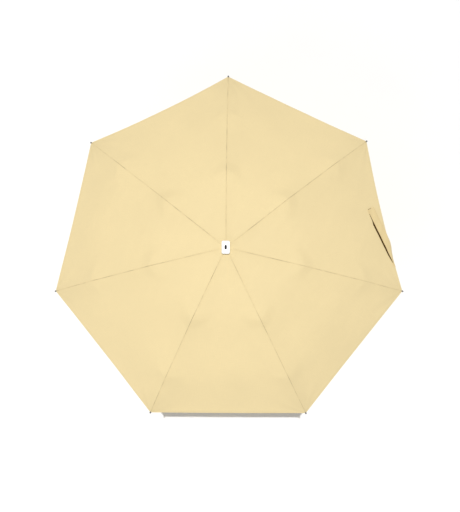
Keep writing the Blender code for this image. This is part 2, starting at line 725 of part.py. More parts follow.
def add_shaft(tube_metal, black_plastic):
    tube_foot = HANDLE_SIZE[2] - HANDLE_SOCKET_DEPTH + GAP
    add_tube("lower_tube", LOWER_TUBE_RADIUS, tube_foot, MIDDLE_TUBE_BOTTOM + TUBE_OVERLAP, tube_metal)
    add_tube(
        "middle_tube", MIDDLE_TUBE_RADIUS, MIDDLE_TUBE_BOTTOM, TOP_TUBE_BOTTOM + TUBE_OVERLAP, tube_metal
    )
    tube_top = CROWN_HEIGHT + CAP_BOTTOM - 1.5 * GAP
    add_tube("top_tube", TOP_TUBE_RADIUS, TOP_TUBE_BOTTOM, tube_top, tube_metal)
    for name, radius, bottom in (
        ("middle_tube_collar", MIDDLE_TUBE_RADIUS, MIDDLE_TUBE_BOTTOM),
        ("top_tube_collar", TOP_TUBE_RADIUS, TOP_TUBE_BOTTOM),
    ):
        add_collar(name, radius, bottom, COLLAR_HEIGHT, COLLAR_THICKNESS, black_plastic)


def add_handle(white_plastic, collar_metal, base_plastic):
    height = HANDLE_SIZE[2] - HANDLE_FOOT
    size = (HANDLE_SIZE[0], HANDLE_SIZE[1], height)
    body = rounded_block("handle", size, HANDLE_FOOT, HANDLE_CORNER, HANDLE_RIM)
    socket = rod(
        "socket",
        (0, 0, HANDLE_SIZE[2] - HANDLE_SOCKET_DEPTH),
        (0, 0, 2 * HANDLE_SIZE[2]),
        LOWER_TUBE_RADIUS + GAP,
        ROUND_STEPS,
    )
    recess_size = (BASE_PLATE_SIZE[0] + 2 * GAP, BASE_PLATE_SIZE[1] + 2 * GAP, 2 * BASE_PLATE_SIZE[2])
    recess_bottom = GAP - BASE_PLATE_SIZE[2]
    recess = rounded_block("recess", recess_size, recess_bottom, BASE_PLATE_CORNER, 0)
    add_part("handle", smooth(fused(body, cut=[socket, recess])), white_plastic)
    plate_body = rounded_block("handle_base", BASE_PLATE_SIZE, 0, BASE_PLATE_CORNER, 0)
    add_part("handle_base", smooth(fused(plate_body)), base_plastic)
    thickness = HANDLE_COLLAR_RADIUS - LOWER_TUBE_RADIUS - GAP
    add_collar(
        "handle_collar",
        LOWER_TUBE_RADIUS,
        HANDLE_SIZE[2] + GAP,
        HANDLE_COLLAR_HEIGHT,
        thickness,
        collar_metal,
    )


# Canopy. A gore lies between two neighbouring ribs; s runs from the hole (0) to the hem (1).


def ridge_point(s):
    """Radius and height of the canopy over a rib."""
    knee = reach(OPEN.crown, OPEN.top, TOP_RIB_LENGTH)
    elbow = reach(OPEN.elbow, OPEN.outer, 0, ELBOW_DROP)
    flat = (CANOPY_SHOULDER - CROWN_RING_RADIUS) * math.tan(TOP_RIB_SLOPE)
    stops = [(CANOPY_HOLE_RADIUS, flat), (CANOPY_SHOULDER, flat), tuple(knee), tuple(elbow), tuple(OPEN.tip)]
    u = CANOPY_HOLE_RADIUS + s * (OPEN.tip[0] - CANOPY_HOLE_RADIUS)
    for (u0, z0), (u1, z1) in zip(stops, stops[1:]):
        if u <= u1:
            break
    return u, z0 + (z1 - z0) * (u - u0) / (u1 - u0) + CANOPY_RISE


def canopy_point(gore, s, across):
    """A point of the canopy: s outwards, and across from the gore's first rib (0) to its next (1)."""
    bow = 4 * across * (1 - across)
    u, z = ridge_point(s - HEM_CURVE * bow * s**4)
    first, second = (Vector((*polar(u, rib_angle(gore + i)), z)) for i in (0, 1))
    sag = CANOPY_SAG * bow * s * (CANOPY_SAG_END - s)
    return first.lerp(second, across) - Vector((0, 0, sag))


def solidified(name, mesh, thickness):
    obj = helper_object(name, mesh)
    shell = obj.modifiers.new("cloth", "SOLIDIFY")
    shell.thickness = thickness
    shell.offset = 0
    return fused(obj)


def add_canopy(fabric):
    rib_span = OPEN.tip[0] - CANOPY_HOLE_RADIUS
    bends = sorted([CANOPY_SHOULDER, OPEN.knee[0], OPEN.elbow[0], *CANOPY_BENDS])
    stations = [0.0, *[(u - CANOPY_HOLE_RADIUS) / rib_span for u in bends], 1.0]
    around = RIB_COUNT * GORE_STEPS
    points = [
        canopy_point(step // GORE_STEPS, s, step % GORE_STEPS / GORE_STEPS)
        for s in stations
        for step in range(around)
    ]
    faces = []
    for row in range(len(stations) - 1):
        for step in range(around):
            here = row * around + step
            beside = row * around + (step + 1) % around
            faces.append((here, here + around, beside + around, beside))
    mesh = bpy.data.meshes.new("canopy")
    mesh.from_pydata(points, [], faces)
    add_part("canopy", smooth(solidified("canopy", mesh, CANOPY_THICKNESS)), fabric, CROWN_PLACE)


def add_strap(fabric):
    """The tie strap, sewn to one gore near the hem and lying along it."""
    half_width = STRAP_WIDTH / 2 / (OPEN.tip[0] * math.cos(math.pi / RIB_COUNT))
    points = []
    for step in range(STRAP_STEPS + 1):
        part = step / STRAP_STEPS
        s = STRAP_START[0] + (STRAP_END[0] - STRAP_START[0]) * part
        across = STRAP_START[1] + (STRAP_END[1] - STRAP_START[1]) * part
        for side in (1, -1):
            point = canopy_point(STRAP_GORE, s + side * half_width, across)
            points.append(point + Vector((0, 0, STRAP_RISE)))
    faces = [(2 * i, 2 * i + 1, 2 * i + 3, 2 * i + 2) for i in range(STRAP_STEPS)]
    mesh = bpy.data.meshes.new("tie_strap")
    mesh.from_pydata(points, [], faces)
    add_part("tie_strap", solidified("tie_strap", mesh, STRAP_THICKNESS), fabric, CROWN_PLACE)


clear_scene()
PARTS = new_collection("folding_umbrella")
HELPERS = new_collection("cutters")

steel = make_material("rib_steel", (0.62, 0.62, 0.64), 0.35, 1.0)
dark_steel = make_material("wire_steel", (0.45, 0.45, 0.47), 0.4, 1.0)
rod_finish = make_material("rod_steel", (0.58, 0.58, 0.60), 0.38, 1.0)
tube_metal = make_material("tube_aluminium", (0.75, 0.75, 0.77), 0.28, 1.0)
black_plastic = make_material("black_plastic", (0.03, 0.03, 0.03), 0.45, 0.0)
grey_plastic = make_material("button_plastic", (0.20, 0.20, 0.21), 0.4, 0.0)
white_plastic = make_material("white_plastic", (0.86, 0.86, 0.84), 0.3, 0.0)
base_plastic = make_material("base_plastic", (0.80, 0.80, 0.78), 0.45, 0.0)
inlay_plastic = make_material("dark_inlay", (0.02, 0.02, 0.02), 0.35, 0.0)
fabric = make_material("canopy_fabric", (0.90, 0.74, 0.40), 0.8, 0.0)
strap_fabric = make_material("strap_fabric", (0.86, 0.70, 0.38), 0.8, 0.0)
trim_fabric = make_material("washer_fabric", (0.84, 0.68, 0.37), 0.85, 0.0)

add_ribs(steel, dark_steel, rod_finish)
add_crown(black_plastic, dark_steel)
add_cap(white_plastic, inlay_plastic, trim_fabric)
add_runner(black_plastic, grey_plastic, dark_steel)
add_shaft(tube_metal, black_plastic)
add_handle(white_plastic, tube_metal, base_plastic)
add_canopy(fabric)
add_strap(strap_fabric)
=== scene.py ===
"""Looks of the folding umbrella: fabric, stitching, tips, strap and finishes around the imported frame.

Metres, +Z up along the shaft. A rib is numbered from 1. In a rib's plane, u runs outwards from the
shaft and z upwards. On the cloth, a is the distance along a rib from the shaft's axis, and b is the
distance from the rib towards the middle of the gore, measured along the gore's chord.
"""

import json
import math

import bmesh
import bpy
import numpy as np
from mathutils import Matrix, Vector


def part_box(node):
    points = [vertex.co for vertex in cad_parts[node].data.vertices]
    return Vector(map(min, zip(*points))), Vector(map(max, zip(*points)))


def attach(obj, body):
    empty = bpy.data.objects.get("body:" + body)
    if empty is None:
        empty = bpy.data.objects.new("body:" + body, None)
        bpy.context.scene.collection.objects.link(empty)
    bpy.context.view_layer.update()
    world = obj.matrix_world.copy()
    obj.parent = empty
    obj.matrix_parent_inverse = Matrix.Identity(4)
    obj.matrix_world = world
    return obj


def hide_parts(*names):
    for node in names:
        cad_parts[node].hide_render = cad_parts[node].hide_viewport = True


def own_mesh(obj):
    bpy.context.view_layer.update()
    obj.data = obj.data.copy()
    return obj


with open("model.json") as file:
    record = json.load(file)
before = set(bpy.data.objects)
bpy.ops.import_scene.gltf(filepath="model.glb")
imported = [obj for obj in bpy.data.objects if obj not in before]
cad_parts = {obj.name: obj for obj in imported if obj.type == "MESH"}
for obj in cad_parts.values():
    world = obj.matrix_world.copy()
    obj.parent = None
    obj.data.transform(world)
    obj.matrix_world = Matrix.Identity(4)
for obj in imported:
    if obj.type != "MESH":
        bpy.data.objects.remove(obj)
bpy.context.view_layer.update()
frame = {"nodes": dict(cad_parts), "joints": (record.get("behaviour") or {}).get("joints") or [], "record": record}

# Camera and light.
CAMERA_TARGET = (0.0067, -0.0144, 0.44)
CAMERA_DISTANCE = 2.5
CAMERA_AZIMUTH = math.radians(28.2)
CAMERA_ELEVATION = math.radians(85.98)
CAMERA_ROLL = math.radians(-28.2)
CAMERA_LENS_MM = 68.95
SENSOR_MM = 36.0
FLOOR_SIZE = 30.0
FLOOR_CELLS = 8
FLOOR_COLOUR = (0.87, 0.87, 0.87)
FLOOR_DARK = (0.865, 0.865, 0.865, 1)
FLOOR_LIGHT = (0.88, 0.88, 0.88, 1)
SUN_TILT = math.radians(7.4)
SUN_AZIMUTH = math.radians(-3.0)
SUN_SPREAD = math.radians(0.8)
SUN_STRENGTH = 2.45
FILL_SIZE = 2.0
FILL_POWER = 14.0
FILL_PLACE = (-1.2, -2.0, 2.6)
FILL_AIM = (0.0, 0.0, 0.4)
SKY_STRENGTH = 0.36

# Ribs, as the frame's pivots leave them: how far the pivots stand off the ribs' centre lines.
RIB_COUNT = 7
KNEE_RISE = 0.002
ELBOW_DROP = 0.001
TIP_BALL = 0.002

# Cloth: height of its middle surface over the ribs' centre lines, shell and folds.
CENTRE_HEIGHT = 0.0043
HOLE_RADIUS = 0.0062
CENTRE_RADIUS = 0.0135
CENTRE_FLAT = CENTRE_RADIUS - 0.001
TOP_HEIGHTS = (
    (0.006, 0.0046), (0.016, 0.0034), (0.030, 0.0028), (0.156, 0.0030), (0.171, 0.0052), (0.185, 0.0054),
)
MIDDLE_HEIGHTS = ((0.003, 0.0053), (0.016, 0.0038), (0.026, 0.0023), (0.150, 0.0021), (0.172, 0.0022))
OUTER_HEIGHTS = ((0.004, 0.0022), (0.014, 0.0019), (0.030, 0.0013), (0.1225, 0.0012), (0.137, 0.0012))
HEM_ALONG = 0.1225
PROFILE_STEP = 0.00025
PROFILE_BLUR = 0.004
BLUR_REACH = 3
LINE_END = 8
GORE_BLUR = 0.045
GORE_BLUR_START = 3 * GORE_BLUR
GORE_BLUR_REACH = 0.055
HALF_CLOTH = 0.00014
HEM_CURVES = (0.0085, 0.0016, 0.0014, -0.0010, 0.0006, 0.0070, 0.0020)
HEM_CURVE_POWER = 6
CLOTH_SAG = 0.017
SAG_END = 1.15
CLOTH_STEP = 0.0004
ROW_STEP = 0.0043
LEAST_ROWS = 2
GRID_PASSES = 8
GORE_COLUMNS = 15
COLUMN_SPREAD = 1.25

# Rows past a piece's ends, which only turn its normals: a share of a row, and a distance.
BEFORE_SHARE = 0.2
AFTER_STEP = 0.001
LEAST_LENGTH = 1e-12

# Relief of the stretched cloth: pulls at the corners and hinges, puckers at the seams, slack between.
CORNER_PULL, CORNER_REACH, CORNER_FOLDS, CORNER_START = 0.0010, 0.050, 9, 0.02
KNEE_PULL, ELBOW_PULL = 0.00035, 0.0005
HINGE_REACH, HINGE_FOLDS, HINGE_START = 0.035, 5, 0.015
PUCKER, PUCKER_PITCH, PUCKER_REACH, PUCKER_START = 0.00013, 0.021, 0.011, 0.004
HEM_RIPPLE, HEM_RIPPLE_PITCH, HEM_RIPPLE_REACH = 0.00030, 0.027, 0.012
SLACK_START, SLACK_POWER = 0.035, 1.5
SLACK_WAVES = ((0.0009, 0.16, 5), (0.00025, 0.045, 9))
WAVE_COUNT = 6
WAVE_SPREAD = (0.6, 1.7)
TIP_CLEAR, FAN_CLEAR = 1e-9, 1e-6

# Felled seam along each rib and double hem.
SEAM_COLUMNS = (0.0, 0.0003, 0.0006, 0.0019, 0.0023)
SEAM_HALF_WIDTH = 0.0021
SEAM_PROUD = 0.0002
SEAM_GROOVE = 0.00009
SEAM_UNDER = 0.00015
SEAM_SOFTNESS = 0.0002
HEM_ROWS = (0.0, 0.0004, 0.0030, 0.0055, 0.0060, 0.0065, 0.0072, 0.0077)
HEM_WIDTH = 0.0074
HEM_FOLD = 0.00022
HEM_PROUD = 0.00008
HEM_SOFTNESS = (0.0002, 0.0003)
HEM_ROLL = 0.55
HEM_STITCH_LINE = 0.0060
SEWN_WIDTH, SEWN_DIP, SEWN_DIP_UNDER = 0.0005, 0.00006, 0.00010
STITCH_LENGTH = 0.0022
STITCH_PITCH = 0.0031
STITCH_WIDTH = 0.00034
STITCH_HEIGHT = 0.00016
STITCH_BARREL = 0.32
STITCH_SECTION = ((-0.5, -0.2), (-0.28, 1.0), (0.28, 1.0), (0.5, -0.2))
SEAM_STITCH_LINE = 0.00135
STITCH_FROM_CENTRE = 0.003
STITCH_FROM_CORNER = 0.004

# Middle of the canopy, and the reinforcing patch under it.
CENTRE_ROWS = 9
CENTRE_SHARES = (0.0, 0.15, 0.5, 1.0)
CENTRE_CLEAR = 0.003
PATCH_HOLE = 0.0057
PATCH_POINTS = 84
PATCH_RINGS = (0.0, 0.25, 0.5, 0.75, 0.93, 1.0)
PATCH_TOOTH = 0.0005
PATCH_TOP_GAP, PATCH_LOW_GAP = 0.0001, 0.00005
PATCH_WAVE, PATCH_WAVES = 0.00004, 5

# Tips.
TIP_PROFILE = (
    (-0.0085, 0.0), (-0.0085, 0.00125), (-0.0080, 0.00145), (-0.0040, 0.0016), (-0.0022, 0.0021),
    (-0.0004, 0.00235), (0.0012, 0.0021), (0.0023, 0.0015), (0.0029, 0.0008), (0.0030, 0.0),
)
TIP_SIDES = 20

# Strap on the gore between the last two ribs. Its inner edge runs between two places on the gore,
# given along the hem from the rib's tip and inwards from the hem's chord.
STRAP_RIB = 5
STRAP_START = (0.2225, 0.0388)
STRAP_END = (0.0640, 0.0015)
STRAP_WIDTH = 0.021
STRAP_HALF_THICKNESS = 0.00055
STRAP_EDGE_SHARE = 0.55
STRAP_STATIONS = 40
STRAP_COLUMNS = 16
STRAP_SUBSTEPS = 8
STRAP_RUN_STEP = 0.01
STRAP_ARCH = 0.12
STRAP_RIPPLE, RIPPLE_ALONG, RIPPLE_ACROSS = 0.00022, 31, 0.4
STRAP_STITCHES = (0.012, 0.99)
STRAP_STITCH_AHEAD = 0.005
STRAP_LIFTS = ((0.0, 0.0009), (0.10, 0.0011), (0.45, 0.0028), (0.62, 0.0032), (0.85, 0.0022), (1.0, 0.0016))
STRAP_ROLLS = ((0.0, 2.0), (0.50, 4.0), (0.62, 14.0), (0.72, 42.0), (0.82, 76.0), (0.92, 118.0), (1.0, 190.0))
STRAP_CURLS = ((0.0, 1.25), (0.72, 1.25), (0.82, 0.95), (1.0, 0.55))
# Dark hook tape along the strap's inner edge; its near-black colour also paints the shadow in the slit under that
# edge.
HOOK_AND_SHADOW_WIDTHS = (
    (0.07, 0.0009), (0.20, 0.0017), (0.235, 0.0046), (0.42, 0.0036), (0.80, 0.0028), (0.93, 0.0004),
)
HOOK_STATIONS, HOOK_COLUMNS = 30, 6
HOOK_ACROSS = (-1, 0.25)
HOOK_FUZZ, FUZZ_ALONG, FUZZ_ACROSS = 0.00015, 900, 3
HOOK_OFFSET, HOOK_TOP, HOOK_UNDER, HOOK_SINK = 0.0003, 0.0004, 0.00018, 0.0001
HOOK_LIFT = 0.75
HOOK_WEAVE_WIDTH = 0.003
TACK_LENGTH = 0.0105
TACK_THREADS = 28
TACK_INSET, TACK_BACK, TACK_RAISE = 0.001, 0.0002, 0.00012
TACK_LEAN = 0.28

# Thread ties that hold the cloth's seams to the ribs: section, place along the member, lane, reach.
TIES = (
    ("middle", 0.055, 0.0023, 0.0021), ("middle", 0.120, 0.0023, 0.0021),
    ("outer", 0.050, 0.0, 0.0016), ("outer", 0.095, 0.0, 0.0016),
)
TIE_THREAD = 0.00022
TIE_TURNS, TIE_SIDES = 24, 8
TIE_SLANT, TIE_CLEAR = 0.0006, 0.0001

# Paint of the fabric: where its lines start and end, how strong they are, and their shades as
# multiples of its colour.
BANDS_PER_SCALE = 0.31416
SLUB_STRETCHES = ((2200, 38, 1), (38, 2200, 1))
MOTTLE_SHADES = (0.972, 1.02)
SLUB_SHADE = 0.95
WEAVE_SHADE, WEAVE_PAINT = 0.70, 0.10
SEAM_LINE, SEAM_SHADE, SEAM_PAINT = (0.0004, 0.0009), 0.40, 0.80
BAND_LINE, BAND_SHADE, BAND_PAINT = (0.0021, 0.0026), 0.86, 0.10
HEM_LINE, HEM_SHADE, HEM_PAINT = (0.0070, 0.0078), 0.90, 0.30
# Painted shade: the cloth is darkened towards each rib's tip, where it slopes down steeply.
SHADED_CORNER_SIZE, CORNER_PAINTED_SHADE, CORNER_PAINT = 0.085, 0.80, 0.34
PAINT_FADE = (0.055, 0.025)

# Metal and plastic: shades as multiples of their own colour.
METAL_SHADES, STAIN_SHADE, SCUFF_SHADE = (0.84, 1.1), 0.6, 1.4
PLASTIC_SHADES = (0.94, 1.04)
DUST_PAINT = 0.10


# ---------------------------------------------------------------- the frame's geometry

JOINTS = {joint["name"]: joint for joint in frame["joints"]}


def hinge(name):
    return Vector(JOINTS[name]["pos_m"])


CROWN_HEIGHT = hinge("top_rib_hinge_1").z
RIB_ANGLES = [math.atan2(hinge(f"top_rib_hinge_{k + 1}").y, hinge(f"top_rib_hinge_{k + 1}").x)
              for k in range(RIB_COUNT)]


def in_rib_plane(point):
    """(u, z) of a point in the first rib's plane, with z from the crown's hinges."""
    angle = RIB_ANGLES[0]
    return np.array([point[0] * math.cos(angle) + point[1] * math.sin(angle), point[2] - CROWN_HEIGHT])


CROWN_PIVOT = in_rib_plane(hinge("top_rib_hinge_1"))
KNEE_PIVOT = in_rib_plane(hinge("middle_rib_hinge_1"))
ELBOW_PIVOT = in_rib_plane(hinge("outer_rib_hinge_1"))
OUTER_LOW, OUTER_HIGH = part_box("outer_rib_1")
TIP_POINT = np.array([OUTER_HIGH.y - TIP_BALL, OUTER_LOW.z + TIP_BALL - CROWN_HEIGHT])


def member_slope(start, end, start_rise, end_rise):
    """Slope of a centre line whose end pivots stand off it by those amounts."""
    run, rise = end - start
    return math.atan2(rise, run) - math.asin((end_rise - start_rise) / math.hypot(run, rise))


TOP_SLOPE = member_slope(CROWN_PIVOT, KNEE_PIVOT, 0.0, KNEE_RISE)
MIDDLE_SLOPE = member_slope(KNEE_PIVOT, ELBOW_PIVOT, KNEE_RISE, -ELBOW_DROP)
OUTER_SLOPE = member_slope(ELBOW_PIVOT, TIP_POINT, -ELBOW_DROP, 0.0)


def above(pivot, slope, rise, along, height):
    """The point over a centre line: along it from a pivot that stands rise above it."""
    cos, sin = math.cos(slope), math.sin(slope)
    up = height - rise
    return np.array([pivot[0] + along * cos - up * sin, pivot[1] + along * sin + up * cos])


def blurred(line, width):
    """A line of even steps, smoothed over a width, with its ends carried straight on."""
    reach = int(BLUR_REACH * width / PROFILE_STEP)
    kernel = np.exp(-0.5 * (np.arange(-reach, reach + 1) * PROFILE_STEP / width) ** 2)
    kernel /= kernel.sum()
    steps = np.arange(1, reach + 1)[:, None]
    before = line[0] + (line[0] - line[LINE_END]) / LINE_END * steps[::-1]
    after = line[-1] + (line[-1] - line[-1 - LINE_END]) / LINE_END * steps
    padded = np.concatenate([before, line, after])
    return np.stack([np.convolve(padded[:, i], kernel, "valid") for i in (0, 1)], axis=1)


def rib_profile():
    """The cloth's line over a rib, and between the ribs: u and z against the distance along the rib."""
    points = [np.array([0.0, CENTRE_HEIGHT]), np.array([CENTRE_FLAT, CENTRE_HEIGHT])]
    points += [above(CROWN_PIVOT, TOP_SLOPE, 0.0, *at) for at in TOP_HEIGHTS]
    knee = len(points) - 1
    points += [above(KNEE_PIVOT, MIDDLE_SLOPE, KNEE_RISE, *at) for at in MIDDLE_HEIGHTS]
    elbow = len(points) - 1
    points += [above(ELBOW_PIVOT, OUTER_SLOPE, -ELBOW_DROP, *at) for at in OUTER_HEIGHTS]
    points = np.array(points)
    steps = np.linalg.norm(np.diff(points, axis=0), axis=1)
    along = np.concatenate([[0.0], np.cumsum(steps)])
    fine = np.arange(0.0, along[-1], PROFILE_STEP)
    line = np.stack([np.interp(fine, along, points[:, i]) for i in (0, 1)], axis=1)
    line[:, 1] += CROWN_HEIGHT
    hem = above(ELBOW_PIVOT, OUTER_SLOPE, -ELBOW_DROP, HEM_ALONG, OUTER_HEIGHTS[-1][1])
    hem[1] += CROWN_HEIGHT
    hem_at = fine[np.argmin(np.linalg.norm(line - hem, axis=1))]
    return fine, blurred(line, PROFILE_BLUR), blurred(line, GORE_BLUR), along[knee], along[elbow], hem_at


PROFILE_A, RIB_LINE, GORE_LINE, A_KNEE, A_ELBOW, A_HEM = rib_profile()
A_HOLE = float(np.interp(HOLE_RADIUS, RIB_LINE[:, 0], PROFILE_A))
A_CENTRE = float(np.interp(CENTRE_RADIUS, RIB_LINE[:, 0], PROFILE_A))
HALF_GORE = math.sin(math.pi / RIB_COUNT)


def radius_at(a):
    return np.interp(a, PROFILE_A, RIB_LINE[:, 0])


def half_chord(a):
    """Distance from a rib to the middle of the gore, along the chord."""
    return radius_at(a) * HALF_GORE


def waves(x, y, scale, seed):
    """A smooth field of a few crossing waves, about -1 to 1."""
    rng = np.random.default_rng(seed)
    total = np.zeros_like(x)
    for _ in range(WAVE_COUNT):
        angle, phase = rng.uniform(0, 2 * math.pi, 2)
        length = scale * rng.uniform(*WAVE_SPREAD)
        total += np.sin(2 * math.pi * (x * math.cos(angle) + y * math.sin(angle)) / length + phase)
    return total * 2 / WAVE_COUNT


def ramp(value, low, high):
    t = np.clip((value - low) / (high - low), 0, 1)
    return t * t * (3 - 2 * t)


def relief(point, a, b):
    """How far the stretched cloth stands off its even surface: pulls, puckers and slack."""
    from_tip = np.maximum(A_HEM - a, 0.0)
    corner = np.hypot(from_tip, b) + TIP_CLEAR
    fan = np.arctan2(b, from_tip + FAN_CLEAR)
    out = CORNER_PULL * np.exp(-corner / CORNER_REACH) * np.sin(CORNER_FOLDS * fan)
    out *= np.clip(corner / CORNER_START, 0, 1)
    for at, size in ((A_KNEE, KNEE_PULL), (A_ELBOW, ELBOW_PULL)):
        near = np.hypot(a - at, b)
        turn = np.arctan2(b, a - at)
        pull = size * np.exp(-near / HINGE_REACH) * np.sin(HINGE_FOLDS * turn)
        out += pull * np.clip(near / HINGE_START, 0, 1)
    off_rib = np.clip(b / PUCKER_START, 0, 1)
    out += PUCKER * np.sin(2 * math.pi * a / PUCKER_PITCH) * off_rib * np.exp(-b / PUCKER_REACH)
    across_hem = half_chord(a) - b
    ripple = HEM_RIPPLE * np.cos(2 * math.pi * across_hem / HEM_RIPPLE_PITCH)
    out += ripple * np.exp(-from_tip / HEM_RIPPLE_REACH) * off_rib
    slack = np.clip(b / SLACK_START, 0, 1) ** SLACK_POWER
    for height, length, seed in SLACK_WAVES:
        out += height * slack * waves(point[..., 0], point[..., 1], length, seed)
    return out


def cloth(k, side, a, b):
    """Middle surface of the cloth in the half gore beside a rib, on its side +1 or -1."""
    a, b = np.broadcast_arrays(np.asarray(a, float), np.asarray(b, float))
    width = half_chord(a)
    w = b / width
    bow = w * (2 - w)
    part = a / A_HEM
    drawn_in = HEM_CURVES[k if side > 0 else (k - 1) % RIB_COUNT]
    drawn = a - drawn_in * bow * part**HEM_CURVE_POWER
    sharp, even = ([np.interp(drawn, PROFILE_A, line[:, i]) for i in (0, 1)]
                   for line in (RIB_LINE, GORE_LINE))
    far = ramp(b, 0.0, GORE_BLUR_REACH) * ramp(a, 0.0, GORE_BLUR_START)
    u, z = (one + (two - one) * far for one, two in zip(sharp, even))
    here, beside = RIB_ANGLES[k], RIB_ANGLES[(k + side) % RIB_COUNT]
    x = u * (math.cos(here) * (1 - w / 2) + math.cos(beside) * w / 2)
    y = u * (math.sin(here) * (1 - w / 2) + math.sin(beside) * w / 2)
    z = z - CLOTH_SAG * bow * part * (SAG_END - part)
    point = np.stack([x, y, z], axis=-1)
    point[..., 2] += relief(point, a, b)
    return point


def cloth_frame(k, side, a, b):
    """Place, direction along the rib, direction across and outward normal at points of the cloth."""
    place = cloth(k, side, a, b)
    along = cloth(k, side, a + CLOTH_STEP, b) - cloth(k, side, a - CLOTH_STEP, b)
    across = cloth(k, side, a, b + CLOTH_STEP) - cloth(k, side, a, np.maximum(b - CLOTH_STEP, 0))
    along /= np.linalg.norm(along, axis=-1, keepdims=True)
    across /= np.linalg.norm(across, axis=-1, keepdims=True)
    normal = np.cross(along, across) * side
    normal /= np.linalg.norm(normal, axis=-1, keepdims=True)
    return place, along, across, normal


def on_gore(k, along_hem, inwards):
    """Place and outward normal of the cloth, from distances along the hem's chord and inwards from it."""
    slope, turn = math.cos(OUTER_SLOPE), math.pi / RIB_COUNT
    a = A_HEM - inwards / (slope * math.cos(turn))
    b = along_hem - inwards * math.tan(turn)
    half = float(half_chord(a))
    if b <= half:
        place, _, _, normal = cloth_frame(k, 1, np.array([a]), np.array([max(b, 0.0)]))
    else:
        place, _, _, normal = cloth_frame((k + 1) % RIB_COUNT, -1, np.array([a]), np.array([2 * half - b]))
    return place[0], normal[0]


# ---------------------------------------------------------------- mesh helpers

def new_object(name, mesh, materials=()):
    for material in materials:
        mesh.materials.append(material)
    obj = bpy.data.objects.new(name, mesh)
    bpy.context.scene.collection.objects.link(obj)
    return obj


class Build:
    """Vertices, faces and their data, gathered for one mesh."""

    def __init__(self):
        self.points, self.normals, self.faces = [], [], []
        self.smooth, self.slots, self.data = [], [], []

    def add(self, points, normals=None, data=None):
        first = sum(len(p) for p in self.points)
        points = np.asarray(points, float).reshape(-1, 3)
        self.points.append(points)
        self.normals.append(np.zeros_like(points) if normals is None else normals.reshape(-1, 3))
        self.data.append(np.zeros((len(points), 4)) if data is None else data.reshape(-1, 4))
        return first

    def face(self, corners, smooth=True, slot=0):
        self.faces.append(corners)
        self.smooth.append(smooth)
        self.slots.append(slot)

    def mesh(self, name):
        mesh = bpy.data.meshes.new(name)
        points, normals = np.concatenate(self.points), np.concatenate(self.normals)
        data = np.concatenate(self.data)
        mesh.from_pydata(points.tolist(), [], self.faces)
        mesh.polygons.foreach_set("use_smooth", self.smooth)
        mesh.polygons.foreach_set("material_index", self.slots)
        at = np.zeros(len(mesh.loops), np.int32)
        mesh.loops.foreach_get("vertex_index", at)
        flat = data[at, :2]
        mesh.uv_layers.new(name="cloth").data.foreach_set("uv", flat.astype(np.float32).ravel())
        for column, label in ((2, "from_seam"), (3, "from_hem")):
            layer = mesh.attributes.new(label, "FLOAT", "POINT")
            layer.data.foreach_set("value", data[:, column].astype(np.float32))
        even = np.zeros(len(mesh.loops), bool)
        starts = np.zeros(len(mesh.polygons), np.int32)
        totals = np.zeros(len(mesh.polygons), np.int32)
        mesh.polygons.foreach_get("loop_start", starts)
        mesh.polygons.foreach_get("loop_total", totals)
        for start, total, smooth in zip(starts, totals, self.smooth):
            even[start:start + total] = smooth
        given = normals[at]
        given[~even] = 0
        mesh.normals_split_custom_set(given.tolist())
        mesh.update()
        return mesh


def grid_normals(grid):
    """Unit normals of a grid of points, from its neighbours."""
    rows, columns = np.gradient(grid, axis=0), np.gradient(grid, axis=1)
    normal = np.cross(rows, columns)
    return normal / np.maximum(np.linalg.norm(normal, axis=-1, keepdims=True), LEAST_LENGTH)


def add_stitches(build, place, along, normal, slot):
    """Small raised threads, one at each place, as long narrow lozenges."""
    side = np.cross(normal, along)
    count = len(STITCH_SECTION)
    for p, t, n, s in zip(place, along, normal, side):
        ring = []
        for where in (-STITCH_BARREL, STITCH_BARREL):
            centre = p + t * STITCH_LENGTH * where
            ring += [centre + s * STITCH_WIDTH * x + n * STITCH_HEIGHT * z for x, z in STITCH_SECTION]
        ends = [p - t * STITCH_LENGTH * 0.5, p + t * STITCH_LENGTH * 0.5]
        first = build.add(np.array(ring + ends))
        second, tips = first + count, first + 2 * count
        for i in range(count):
            j = (i + 1) % count
            build.face((first + i, first + j, second + j, second + i), slot=slot)
            build.face((first + j, first + i, tips), slot=slot)
            build.face((second + i, second + j, tips + 1), slot=slot)


def close_grid(build, first, n, m, side=1, slot=0):
    """Faces of a closed body between two grids of n rows and m columns; side -1 turns them over."""
    for layer, start in enumerate(first):
        flip = (side > 0) == (layer == 1)
        for i in range(n - 1):
            for j in range(m - 1):
                p = start + i * m + j
                quad = (p, p + m, p + m + 1, p + 1)
                build.face(quad[::-1] if flip else quad, slot=slot)
    border = [(0, j) for j in range(m)] + [(i, m - 1) for i in range(1, n)]
    border += [(n - 1, j) for j in range(m - 2, -1, -1)] + [(i, 0) for i in range(n - 2, 0, -1)]
    for (i, j), (x, y) in zip(border, border[1:] + border[:1]):
        p, q = i * m + j, x * m + y
        quad = (first[0] + p, first[0] + q, first[1] + q, first[1] + p)
        build.face(quad if side > 0 else quad[::-1], smooth=False, slot=slot)


def close_rings(build, first, rings, count):
    """Faces of a closed washer between two sets of rings of so many points, from the hole outwards."""
    for layer, start in enumerate(first):
        for ring in range(rings - 1):
            for i in range(count):
                p, q = start + ring * count + i, start + ring * count + (i + 1) % count
                quad = (p, p + count, q + count, q)
                build.face(quad if layer == 0 else quad[::-1])
    for ring, turned in ((0, True), (rings - 1, False)):
        for i in range(count):
            p, q = ring * count + i, ring * count + (i + 1) % count
            quad = (first[0] + p, first[1] + p, first[1] + q, first[0] + q)
            build.face(quad[::-1] if turned else quad, smooth=False)


